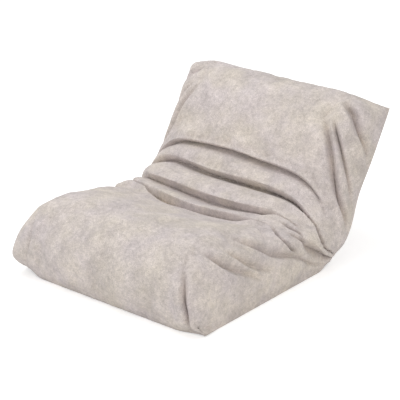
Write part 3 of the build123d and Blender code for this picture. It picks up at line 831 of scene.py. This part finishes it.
def round_off(points):
    """Draws the bag in at its corners, where the cover is gathered tightest."""
    points = points.copy()
    for sign in (-1, 1):
        corner, inward = (sign * HALF_WIDTH, FRONT, 0), (-sign, 1, 1)
        tight = near(points, corner, TIGHT_REACH)[..., None]
        lifted = near(points, corner, LIFTED_REACH)[..., None]
        rear = rear_corner(points, REAR_TIGHT_REACH, REAR_TIGHT_REACH) * (sign * points[..., 0] > 0)
        points += tight * np.multiply(TIGHT_MOVE, inward) + lifted * LIFTED_MOVE
        points += rear[..., None] * (np.multiply(REAR_TIGHT_MOVE, inward) - OFF_REAR * OUT_BACK)
    return points


filling, bag_columns, bag_rows, _, bag_floor, bag_rear = lay_cloth(BAG_COARSER)
filling, bag_floor, bag_rear = [round_off(soften(points)) for points in (filling, bag_floor, bag_rear)]
print("bag grid", filling.shape[:2])

# %% Sink the filling below the creased cover
FIRST_GAP, SMALLEST_GAP, MARGIN, MOST_SUNK = 0.0045, 0.0012, 0.001, 0.095
ROUNDS, MOST_IN_ROUND, SHARP_SHARE, SINK_BLUR = 9, 0.03, 0.7, 0.014
HEM_FADE, TOO_CLOSE = (0.009, 0.009, 0.012), 0.003
inwards = -facing(filling)
cloth_inside = (cover - PLUSH_CLOTH * outward).reshape(-1, 3)
tree_of_cloth = BVHTree.FromPolygons(cloth_inside.tolist(), grid_faces(*cover.shape[:2], flip=True).tolist())
blur_columns, blur_rows = blur(bag_columns, SINK_BLUR), blur(bag_rows, SINK_BLUR)
clear_of_hem = off_seams(bag_columns[:, None], bag_rows[None], *HEM_FADE)
sunk = np.zeros(filling.shape[:2])


def gaps_to_cloth(points):
    """How far inside the cover each point lies, below zero where it comes through."""
    gaps = np.zeros(points.shape[:2])
    for i in range(points.shape[0]):
        for j in range(points.shape[1]):
            nearest, normal, _, distance = tree_of_cloth.find_nearest(Vector(points[i, j]))
            gaps[i, j] = math.copysign(distance, normal.dot(nearest - Vector(points[i, j])))
    return gaps


neighbour_shifts = [(0, 0), (-1, 0), (1, 0), (-2, 1), (-1, 1), (1, 1), (2, 1)]
for _ in range(ROUNDS):
    gaps = gaps_to_cloth(filling + inwards * (FIRST_GAP + sunk)[..., None])
    missing = np.clip(SMALLEST_GAP + MARGIN - gaps, 0, MOST_IN_ROUND)
    widest = np.max([np.roll(missing, shift, axis=axis) for shift, axis in neighbour_shifts], axis=0)
    sunk += np.maximum(blur_columns @ widest @ blur_rows.T, SHARP_SHARE * missing) * clear_of_hem
sunk = np.minimum(sunk, MOST_SUNK)
print("sunk at most", round(float(sunk.max()) * 1000), "mm")
print("still too close at", int((missing > TOO_CLOSE).sum()), "of", missing.size, "points")

# %% [markdown]
# Both bags are cut from that one shape: at the floor panel, at the rear panel, and at the slanting plane
# where the two bags lean on each other. Cutting with a plane is what Bisect does, and it can fill the cut
# face too.

# %% Planes for the cuts, and how to cut
BAFFLE_FOOT = 0.185
FLOOR_GAP, REAR_GAP, BAFFLE_GAP = 0.0025, 0.0065, 0.00175
LINER_CLOTH, BEADS_IN = 0.0010, 0.0015
bend = (full_line[6] + full_line[7]) / 2
baffle_foot = np.array([0.0, REAR - BAFFLE_FOOT, 0.0])
up_baffle = np.array([0.0, bend[0], bend[1]]) - baffle_foot
up_baffle /= np.linalg.norm(up_baffle)
to_seat = np.array([0.0, -up_baffle[2], up_baffle[1]])
rear_foot = np.array([0.0, REAR, 0.0])


def cut_away(piece, place, normal):
    """Cuts off what lies beyond a plane and fills the cut."""
    edit(piece)
    bpy.ops.mesh.bisect(plane_co=place, plane_no=normal, use_fill=True, clear_outer=True)
    bpy.ops.object.mode_set(mode="OBJECT")


def weld_and_fill(threshold):
    """Joins points that lie this close together and fills what is left open."""
    bpy.ops.mesh.select_all(action="SELECT")
    bpy.ops.mesh.remove_doubles(threshold=threshold)
    bpy.ops.mesh.select_all(action="SELECT")
    bpy.ops.mesh.fill_holes(sides=0)


def closed_shape(depth):
    """The points and faces of the filled shape, this much further in than the liner's outside: the sunken
    top, the floor side and the rear side, which share the points where they meet."""
    sides = [filling + inwards * (FIRST_GAP + sunk + depth)[..., None], bag_floor, bag_rear]
    starts = np.cumsum([0] + [side[..., 0].size for side in sides])
    over, under, behind = [
        start + np.arange(side[..., 0].size).reshape(side.shape[:2]) for side, start in zip(sides, starts)
    ]
    flat = slice((over.shape[0] - under.shape[0]) // 2, (over.shape[0] + under.shape[0]) // 2)
    seam = under.shape[1] - 1
    under[[0, -1]], under[:, 0] = over[[0, -1], :seam + 1], over[flat, 0]
    behind[[0, -1]], behind[:, -1] = over[[0, -1], seam:], over[flat, -1]
    behind[:, 0] = under[:, -1]
    faces = [
        np.stack([side[:-1, :-1], side[:-1, 1:], side[1:, 1:], side[1:, :-1]], axis=-1).reshape(-1, 4)
        for side in (over[:, ::-1], under, behind)
    ]
    return np.vstack([side.reshape(-1, 3) for side in sides]), np.vstack(faces)


# %% Cut a bag out of the filled shape
def bag_shape(name, depth, seat):
    """The closed outside of one bag, or of its beads, this much further in than the liner's outside."""
    piece = new_piece(name, *closed_shape(depth))
    edit(piece)
    bpy.ops.mesh.delete_loose()
    weld_and_fill(WELD)
    bpy.ops.mesh.select_all(action="SELECT")
    bpy.ops.mesh.normals_make_consistent(inside=False)
    bpy.ops.object.mode_set(mode="OBJECT")
    own_side = to_seat if seat else -to_seat
    cut_away(piece, (0, 0, FLOOR_GAP + depth), (0, 0, -1))
    cut_away(piece, rear_foot - OUT_BACK * (REAR_GAP + depth), OUT_BACK)
    cut_away(piece, baffle_foot + own_side * (BAFFLE_GAP + depth), -own_side)
    edit(piece)
    bpy.ops.mesh.remove_doubles(threshold=FINE_WELD)
    for _ in range(2):
        bpy.ops.mesh.select_all(action="DESELECT")
        bpy.ops.mesh.select_non_manifold()
        bpy.ops.mesh.delete(type="VERT")
        bpy.ops.mesh.select_all(action="SELECT")
        bpy.ops.mesh.fill_holes(sides=0)
    bpy.ops.mesh.quads_convert_to_tris(ngon_method="BEAUTY")
    bpy.ops.mesh.normals_make_consistent(inside=False)
    bpy.ops.object.mode_set(mode="OBJECT")
    return piece


# %% Helpers for modifiers and shading
def apply_modifier(piece, kind, **settings):
    """Adds one modifier to a piece and applies it."""
    select_only(piece)
    modifier = piece.modifiers.new(kind.title(), kind)
    for name, value in settings.items():
        setattr(modifier, name, value)
    bpy.ops.object.modifier_apply(modifier=modifier.name)


def smooth(piece, angle=40):
    """Smooth shading, except over edges sharper than this."""
    select_only(piece)
    bpy.ops.object.shade_smooth_by_angle(angle=math.radians(angle))


# %% [markdown]
# ### Zip openings
# Each zip sits in a slot of the cloth it closes. On the real chair the two edges of that slot are folded
# back beside the teeth, here they are cut clean. The cutter for a slot is a cylinder whose two halves are
# moved apart, which leaves a round end at both sides.

# %% Zip frames and slots
TEETH_WIDTH, TEETH_HEIGHT = 0.0023, 0.0022
SLOT_WIDTH, LINER_SLOT_DEPTH, COVER_SLOT_DEPTH = 0.0110, 0.0072, 0.012
TAPE_TAIL = 0.012
RECESS_WIDTH, RECESS_TAIL, RECESS_DEPTH, RECESS_IN = 0.0328, 0.025, 0.0072, 0.0011


def zip_frame(node, along, out):
    """Where a zip's middle is, its direction, the way it faces and its length, from the boxes of its
    teeth."""
    boxes = np.array([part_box(f"{node}_chain_{hand}") for hand in ("left", "right")])
    run = abs(float(np.dot(boxes[0, 1] - boxes[0, 0], np.abs(along))))
    return boxes.sum(axis=(0, 1)) / 4, along, out, run


def lay_on(piece, points, origin, along, out):
    """Lays a piece's points on a zip: x goes across it, y along it and z outwards."""
    placed = origin + points[:, :1] * np.cross(along, out) + points[:, 1:2] * along + points[:, 2:] * out
    piece.data.vertices.foreach_set("co", placed.astype(np.float32).reshape(-1))


def slot_cutter(middle, along, out, length, width, depth):
    """A bar with round ends, as long and as wide as this, reaching half its depth to either side of the
    cloth."""
    bpy.ops.mesh.primitive_cylinder_add(vertices=32, radius=width / 2, depth=depth)
    cutter = bpy.context.object
    points = np.array([vertex.co for vertex in cutter.data.vertices])
    points[:, 1] += np.where(points[:, 1] > 0, 1, -1) * (length - width) / 2
    lay_on(cutter, points, middle, along, out)
    return cutter


def cut_with(piece, cutter):
    """Subtracts the cutter and removes it."""
    apply_modifier(piece, "BOOLEAN", operation="DIFFERENCE", solver="EXACT", object=cutter)
    bpy.data.objects.remove(cutter)


ACROSS = np.array([1.0, 0, 0])
ZIPS = {
    "cover": ("cover_zip", UP_BACK, OUT_BACK),
    "seat": ("seat_liner_zip", ACROSS, -to_seat),
    "back": ("back_liner_zip", ACROSS, OUT_BACK),
}
zips = {key: zip_frame(*values) for key, values in ZIPS.items()}
for key, (middle, _, _, run) in zips.items():
    print("zip", key, "middle", np.round(middle * 1000, 1), "length", round(run * 1000, 1))

# %% A liner with its slot, and its beads
FINEST_WELD = 0.00005


def make_liner(key):
    """A bag's liner: a thin skin over the filled shape, with a slot for its zip."""
    middle, along_zip, out, run = zips[key]
    liner = bag_shape(key + "_liner_cloth", 0.0, key == "seat")
    apply_modifier(liner, "SOLIDIFY", thickness=LINER_CLOTH, offset=-1)
    cut_with(liner, slot_cutter(middle, along_zip, out, run + TAPE_TAIL, SLOT_WIDTH, LINER_SLOT_DEPTH))
    smooth(liner)
    return liner


def make_beads(key):
    """A bag's beads as one body, with a shallow recess behind the zip."""
    middle, along_zip, out, run = zips[key]
    beads = bag_shape(key + "_bead_filling", BEADS_IN, key == "seat")
    bpy.ops.mesh.primitive_cube_add(size=1)
    recess = bpy.context.object
    corners = np.array([vertex.co for vertex in recess.data.vertices])
    corners *= [RECESS_WIDTH, run + RECESS_TAIL, RECESS_DEPTH]
    lay_on(recess, corners, middle - RECESS_IN * out, along_zip, out)
    cut_with(beads, recess)
    edit(beads)
    weld_and_fill(FINEST_WELD)
    bpy.ops.object.mode_set(mode="OBJECT")
    smooth(beads)
    return beads


# %% The two bags
bags = {}
for key in ("seat", "back"):
    liner, beads = bags[key] = make_liner(key), make_beads(key)
    for piece, node, finish in (
        (liner, key + "_liner", "liner_cloth"), (beads, key + "_beads", "foam_beads"),
    ):
        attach(piece, "chair")
        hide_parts(node)
        check = bmesh.new()
        check.from_mesh(piece.data)
        open_edges = sum(not edge.is_manifold for edge in check.edges)
        area = sum(face.calc_area() for face in check.faces)
        check.free()
        print(piece.name, "open edges", open_edges, "area", round(area, 3))

# %% The slot in the rear panel
middle, along_zip, out, run = zips["cover"]
rear_piece = cover_panels["rear_panel"]
edit(rear_piece)
bpy.ops.mesh.customdata_custom_splitnormals_clear()
bpy.ops.object.mode_set(mode="OBJECT")
cut_with(rear_piece, slot_cutter(middle, along_zip, out, run + TAPE_TAIL, SLOT_WIDTH, COVER_SLOT_DEPTH))
smooth(rear_piece)
print("rear panel faces", len(rear_piece.data.polygons))

# %% [markdown]
# ### Zip teeth
# A moulded zip is one tooth, repeated every two and a half millimetres along the edge of its tape. So one
# tooth is modelled, and an Array makes the row: a block whose head is wider than its neck, with its edges
# broken.

# %% Model one tooth
TOOTH_PITCH, TOOTH_THICKNESS = 0.0025, 0.0017
NECK, NECK_SHARE = 0.0008, 0.62
TOOTH_ROUNDING, TOOTH_SHARP = 0.00018, 30


def tooth():
    """One tooth across +X with its foot at z = 0, drawn in beside its middle."""
    bpy.ops.mesh.primitive_cube_add(size=1)
    made = bpy.context.object
    made.name = "tooth"
    edit(made)
    bpy.ops.transform.resize(value=(TEETH_WIDTH, TOOTH_THICKNESS, TEETH_HEIGHT), center_override=(0, 0, 0))
    bpy.ops.transform.translate(value=(0, 0, TEETH_HEIGHT / 2))
    bpy.ops.mesh.subdivide(number_cuts=2)
    work = bmesh.from_edit_mesh(made.data)
    for vertex in work.verts:
        vertex.select = abs(vertex.co.x) < NECK and abs(vertex.co.y) > NECK
    work.select_flush_mode()
    bmesh.update_edit_mesh(made.data)
    bpy.ops.transform.resize(value=(1, NECK_SHARE, 1), center_override=(0, 0, 0))
    bpy.ops.object.mode_set(mode="OBJECT")
    apply_modifier(made, "BEVEL", width=TOOTH_ROUNDING, segments=1, limit_method="ANGLE")
    return made


one_tooth = tooth()
print("tooth faces", len(one_tooth.data.polygons))

# %% Lay the rows of teeth
teeth = {}
for key, (prefix, along_zip, out) in ZIPS.items():
    count = int(zips[key][3] / TOOTH_PITCH)
    for hand in ("left", "right"):
        node = f"{prefix}_chain_{hand}"
        row = bpy.data.objects.new(f"{prefix}_teeth_{hand}", one_tooth.data.copy())
        bpy.context.collection.objects.link(row)
        apply_modifier(
            row, "ARRAY", count=count, use_relative_offset=False, use_constant_offset=True,
            constant_offset_displace=(0, TOOTH_PITCH, 0))
        middle = np.array(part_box(node)).sum(axis=0) / 2
        start = middle - along_zip * TOOTH_PITCH * (count - 1) / 2 - out * TEETH_HEIGHT / 2
        points = values_of(row.data.vertices, len(row.data.vertices), "co", 3)
        lay_on(row, points, start, along_zip, out)
        edit(row)
        bpy.ops.mesh.normals_make_consistent(inside=False)
        bpy.ops.object.mode_set(mode="OBJECT")
        smooth(row, TOOTH_SHARP)
        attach(row, "chair")
        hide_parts(node)
        teeth[node] = row
bpy.data.objects.remove(one_tooth)
print("teeth rows", {name: len(row.data.polygons) for name, row in teeth.items()})

# %% [markdown]
# ### How big each cloth was cut
# A sheet of cloth keeps its area, whatever it is pulled over. So the area of each cover panel and each
# liner is printed where it is made. Of the cover's panels the face panel is by far the largest: it runs over
# the front, the seat and the backrest, and the folds at the bend take up cloth too.


# %% [markdown]
# ## Finishes
# A finish is one of two things here: a colour that varies the way the real material does, and a surface
# that scatters light the way it does. The foam beads' colour also holds painted shade in the gaps between
# the beads. All patterns are laid out in metres, on the piece itself, so they keep their size on every
# piece and move with it.

# %% A colour, and a function that adds one node
def linear(colour):
    """An sRGB hex colour as linear red, green, blue and alpha."""
    parts = [int(colour[i:i + 2], 16) / 255 for i in (1, 3, 5)]
    return [c / 12.92 if c <= 0.04045 else ((c + 0.055) / 1.055)**2.4 for c in parts] + [1.0]


def add_node(tree, kind, inputs=None, **settings):
    """Adds a node with its settings. An input is a value, or another node's output to link."""
    made = tree.nodes.new(kind)
    for name, value in settings.items():
        setattr(made, name, value)
    for socket, value in (inputs or {}).items():
        if isinstance(value, bpy.types.NodeSocket):
            tree.links.new(value, made.inputs[socket])
        else:
            made.inputs[socket].default_value = value
    return made


def new_material(name):
    """An empty node material, its tree and the place on the piece."""
    material = bpy.data.materials.new(name)
    material.use_nodes = True
    material.node_tree.nodes.clear()
    place = add_node(material.node_tree, "ShaderNodeTexCoord").outputs["Object"]
    return material, material.node_tree, place


def spread_of(tree, value, low, high, start=0.3, end=0.7):
    """Maps a pattern's value from start..end to low..high."""
    made = add_node(
        tree, "ShaderNodeMapRange",
        {"Value": value, "From Min": start, "From Max": end, "To Min": low, "To Max": high})
    return made.outputs["Result"]


def noise(tree, place, size, detail=3.0, roughness=0.6):
    """Noise whose blotches are about this many metres across."""
    made = add_node(
        tree, "ShaderNodeTexNoise",
        {"Vector": place, "Scale": 1 / size, "Detail": detail, "Roughness": roughness})
    return made.outputs["Fac"]


def times(tree, a, b):
    """The product of two values."""
    return add_node(tree, "ShaderNodeMath", {0: a, 1: b}, operation="MULTIPLY").outputs[0]


def surface(tree, colour, height, bump, **inputs):
    """Ends a tree with a Principled surface in this colour, with a bump of this many metres."""
    values = {name.replace("_", " "): value for name, value in inputs.items()}
    values["Base Color"] = colour
    raised = add_node(tree, "ShaderNodeBump", {"Height": height, "Strength": 0.5, "Distance": bump})
    values["Normal"] = raised.outputs["Normal"]
    shader = add_node(tree, "ShaderNodeBsdfPrincipled", values)
    add_node(tree, "ShaderNodeOutputMaterial", {"Surface": shader.outputs["BSDF"]})


def shaded(tree, colour, shade):
    """A colour, a mix or a hex, made lighter or darker by a pattern."""
    start = colour if isinstance(colour, bpy.types.NodeSocket) else linear(colour)[:3]
    scaled = add_node(tree, "ShaderNodeVectorMath", {0: start, "Scale": shade}, operation="SCALE")
    return scaled.outputs["Vector"]


# %% [markdown]
# **Brushed plush.** Short pile, brushed flat in one place and up in the next. Where it lies flat it looks
# lighter, where it stands it looks darker, so the cloth is mottled in patches of one to three centimetres,
# over broader clouds that are a little warmer or cooler. Sheen gives it the soft rim that pile has at a
# glancing angle. The pile itself, far below a millimetre, is drawn as grain of three millimetres, which is
# as fine as the render can show.

# %% Brushed plush
def plush():
    """Mottled pile in a pale greige."""
    material, tree, place = new_material("brushed_plush")
    tint = add_node(
        tree, "ShaderNodeMix",
        {"Factor": spread_of(tree, noise(tree, place, 0.15), 0, 1, 0.35, 0.65),
         "A": linear("#D2C8C6"), "B": linear("#D5CBC1")},
        data_type="RGBA").outputs["Result"]
    cloudy = spread_of(tree, noise(tree, place, 0.07, 2.0), 0.875, 1.095)
    patches = spread_of(tree, noise(tree, place, 0.014, 5.0, 0.7), 0.80, 1.12)
    grain = noise(tree, place, 0.0033)
    shade = times(tree, times(tree, cloudy, patches), spread_of(tree, grain, 0.76, 1.16))
    surface(
        tree, shaded(tree, tint, shade), grain, 0.002,
        Roughness=0.95, Specular_IOR_Level=0.15, Sheen_Weight=0.15, Sheen_Roughness=0.5)
    return material


# %% [markdown]
# **Woven cloths.** Floor cloth, liners and zip tapes are all plain or twill weaves and differ in yarn and
# colour. Two crossed waves stand for warp and weft. Real yarns lie half a millimetre apart. They are drawn
# two to three times as wide here, so that they don't flicker.

# %% Woven cloth
def woven(name, colour, yarn, twill=False):
    """A plain weave, or a twill, in a colour, with yarns of this width in metres."""
    material, tree, place = new_material(name)
    rotation = (0.6, 0.0, 0.785 if twill else 0.0)
    turned = add_node(tree, "ShaderNodeMapping", {"Vector": place, "Rotation": rotation}).outputs["Vector"]
    waves = [
        add_node(
            tree, "ShaderNodeTexWave", {"Vector": turned, "Scale": 0.314 / yarn, "Distortion": 0.4},
            bands_direction=direction).outputs["Fac"]
        for direction in ("X", "Y")
    ]
    height = times(tree, *waves)
    weave = spread_of(tree, height, 0.86, 1.05, 0.0, 0.8)
    shade = times(tree, weave, spread_of(tree, noise(tree, place, 0.02, 4.0), 0.93, 1.05))
    surface(tree, shaded(tree, colour, shade), height, yarn / 3, Roughness=0.85, Specular_IOR_Level=0.25)
    return material


# %% [markdown]
# ** Foam beads.** Polystyrene beads of four millimetres, each a little white ball. Cells of a Voronoi
# pattern stand for them: round on top, with shade painted into the colour in the gaps between.

# %% Foam beads
def foam_beads():
    """White balls side by side."""
    material, tree, place = new_material("foam_beads")
    cells = add_node(tree, "ShaderNodeTexVoronoi", {"Vector": place, "Scale": 250.0, "Randomness": 0.8})
    round_top = spread_of(tree, cells.outputs["Distance"], 1.0, 0.0, 0.0, 0.7)
    # painted shade: the white darkens towards each cell's edge, where the gaps between beads would lie in
    # shade
    gaps = spread_of(tree, round_top, 0.62, 1.0, 0.0, 0.5)
    shade = times(tree, gaps, spread_of(tree, noise(tree, place, 0.03), 0.96, 1.03))
    surface(tree, shaded(tree, "#F8F8F7", shade), round_top, 0.002, Roughness=0.7, IOR=1.3)
    return material


# %% [markdown]
# **Teeth and sliders.** The teeth are acetal: smooth, a little waxy, IOR 1.48. Stops and cover slider are
# metal, so their colour is in the reflection. The liners' sliders are enamelled white, metal under a glossy
# coat. Nothing moulded or cast is quite even, so a faint cloud breaks up each of them.

# %% Plastic, metal and enamel
def moulded(name, colour, metallic, roughness, ior, coat):
    """A smooth moulded or cast surface, with or without a glossy coat."""
    material, tree, place = new_material(name)
    cloud = noise(tree, place, 0.004, 2.0)
    surface(
        tree, shaded(tree, colour, spread_of(tree, cloud, 0.93, 1.05)), cloud, 0.00005,
        Metallic=metallic, Roughness=roughness, IOR=ior, Coat_Weight=coat, Coat_Roughness=0.08)
    return material


finishes = {
    "cover_plush": plush(),
    "floor_cloth": woven("woven_floor_cloth", "#AEA8A2", 0.0015),
    "liner_cloth": woven("thin_liner_cloth", "#EEEEEC", 0.0012),
    "foam_beads": foam_beads(),
    "cover_zip_tape": woven("cover_zip_tape", "#D9D4CE", 0.0012, twill=True),
    "liner_zip_tape": woven("liner_zip_tape", "#F0F0EE", 0.0012, twill=True),
    "cover_zip_teeth": moulded("moulded_teeth_greige", "#D4CEC8", 0.0, 0.32, 1.48, 0.0),
    "liner_zip_teeth": moulded("moulded_teeth_white", "#EDEDEB", 0.0, 0.32, 1.48, 0.0),
    "zip_stop_metal": moulded("plain_aluminium", "#DEDEDF", 1.0, 0.35, 1.5, 0.0),
    "cover_slider_metal": moulded("satin_nickel", "#CEC9C4", 1.0, 0.30, 1.5, 0.0),
    "liner_slider_metal": moulded("white_enamel", "#E6E6E4", 0.0, 0.25, 1.5, 0.6),
}

# %% [markdown]
# A finish goes to every piece made here, and to the CAD pieces that stay as they are: tapes, stops, sliders
# and the pull.

# %% Give every piece its finish
def dress(piece, finish):
    """Gives a piece one finish and nothing else."""
    piece.data.materials.clear()
    piece.data.materials.append(finishes[finish])


for node, piece in cover_panels.items():
    dress(piece, "floor_cloth" if node == "base_panel" else "cover_plush")
for liner, beads in bags.values():
    dress(liner, "liner_cloth")
    dress(beads, "foam_beads")
for node, row in teeth.items():
    dress(row, "cover_zip_teeth" if node.startswith("cover") else "liner_zip_teeth")
for prefix, owner in (("cover_zip", "cover"), ("seat_liner_zip", "liner"), ("back_liner_zip", "liner")):
    for hand in ("left", "right"):
        dress(bpy.data.objects[f"{prefix}_tape_{hand}"], owner + "_zip_tape")
    dress(bpy.data.objects[f"{prefix}_stops"], "zip_stop_metal")
    dress(bpy.data.objects[f"{prefix}_slider"], owner + "_slider_metal")
dress(bpy.data.objects["cover_zip_pull"], "cover_slider_metal")

# %% [markdown]
# ## Floor and light
# A soft thing is read from its shadows, so the light does the last part of the modelling. One large lamp
# hangs high above and a little to the left, so that each roll darkens on its underside. Two weaker ones, in
# front and at the right, keep the front and the side from going flat. The floor is pale and glows a little
# where it is looked at, which keeps the room around the chair plain, while the chair still sets a soft
# shadow on it.

# %% Floor
def stage_material(name, colour, glow):
    """A matt floor that also glows this much where it is looked at, so that it stays pale but holds
    shadows."""
    material = bpy.data.materials.new(name)
    material.use_nodes = True
    tree = material.node_tree
    tree.nodes.clear()
    ray = add_node(tree, "ShaderNodeLightPath").outputs
    seen = add_node(
        tree, "ShaderNodeMath", {0: ray["Is Camera Ray"], 1: ray["Is Glossy Ray"]}, operation="MAXIMUM")
    diffuse = add_node(tree, "ShaderNodeBsdfDiffuse", {"Color": linear(colour)})
    glowing = add_node(tree, "ShaderNodeEmission", {"Color": linear("#FFFFFF"), "Strength": glow})
    glow_seen = add_node(tree, "ShaderNodeMixShader", {0: seen.outputs[0], 2: glowing.outputs[0]})
    total = add_node(tree, "ShaderNodeAddShader", {0: diffuse.outputs[0], 1: glow_seen.outputs[0]})
    add_node(tree, "ShaderNodeOutputMaterial", {"Surface": total.outputs[0]})
    return material


FLOOR_SIZE, FLOOR_BELOW = 60, 0.0005
bpy.ops.mesh.primitive_plane_add(size=FLOOR_SIZE, location=(0, 0, -FLOOR_BELOW))
floor = bpy.context.object
floor.name = "floor"
floor.data.materials.append(stage_material("pale_floor", "#F2F2F2", 0.45))
print("floor", FLOOR_SIZE, "m wide")

# %% Room and lamps
world = bpy.data.worlds.new("studio")
bpy.context.scene.world = world
world.use_nodes = True
tree = world.node_tree
tree.nodes.clear()
seen = add_node(tree, "ShaderNodeLightPath").outputs["Is Camera Ray"]
strength = add_node(tree, "ShaderNodeMapRange", {"Value": seen, "To Min": 0.66, "To Max": 1.0}).outputs[0]
backdrop = add_node(tree, "ShaderNodeBackground", {"Color": linear("#FFFFFF"), "Strength": strength})
add_node(tree, "ShaderNodeOutputWorld", {"Surface": backdrop.outputs[0]})

LIT_PLACE = Vector((0, 0, 0.3))


def lamp(name, place, size, power, colour):
    """A square lamp at a place, turned to the middle of the chair."""
    bpy.ops.object.light_add(type="AREA", location=place)
    made = bpy.context.object
    made.name = name
    made.data.size = size
    made.data.energy = power
    made.data.color = linear(colour)[:3]
    made.rotation_mode = "QUATERNION"
    made.rotation_quaternion = (Vector(place) - LIT_PLACE).to_track_quat("Z", "Y")
    print(name, power, "W")


lamp("key_light", (-0.9, -0.3, 3.4), 2.2, 42, "#FDFEFF")
lamp("front_light", (-1.0, -3.8, 1.5), 2.4, 22.5, "#FBFDFF")
lamp("side_light", (3.4, -1.6, 1.2), 2.0, 26, "#FFFCF4")
bpy.context.scene.view_settings.view_transform = "Standard"
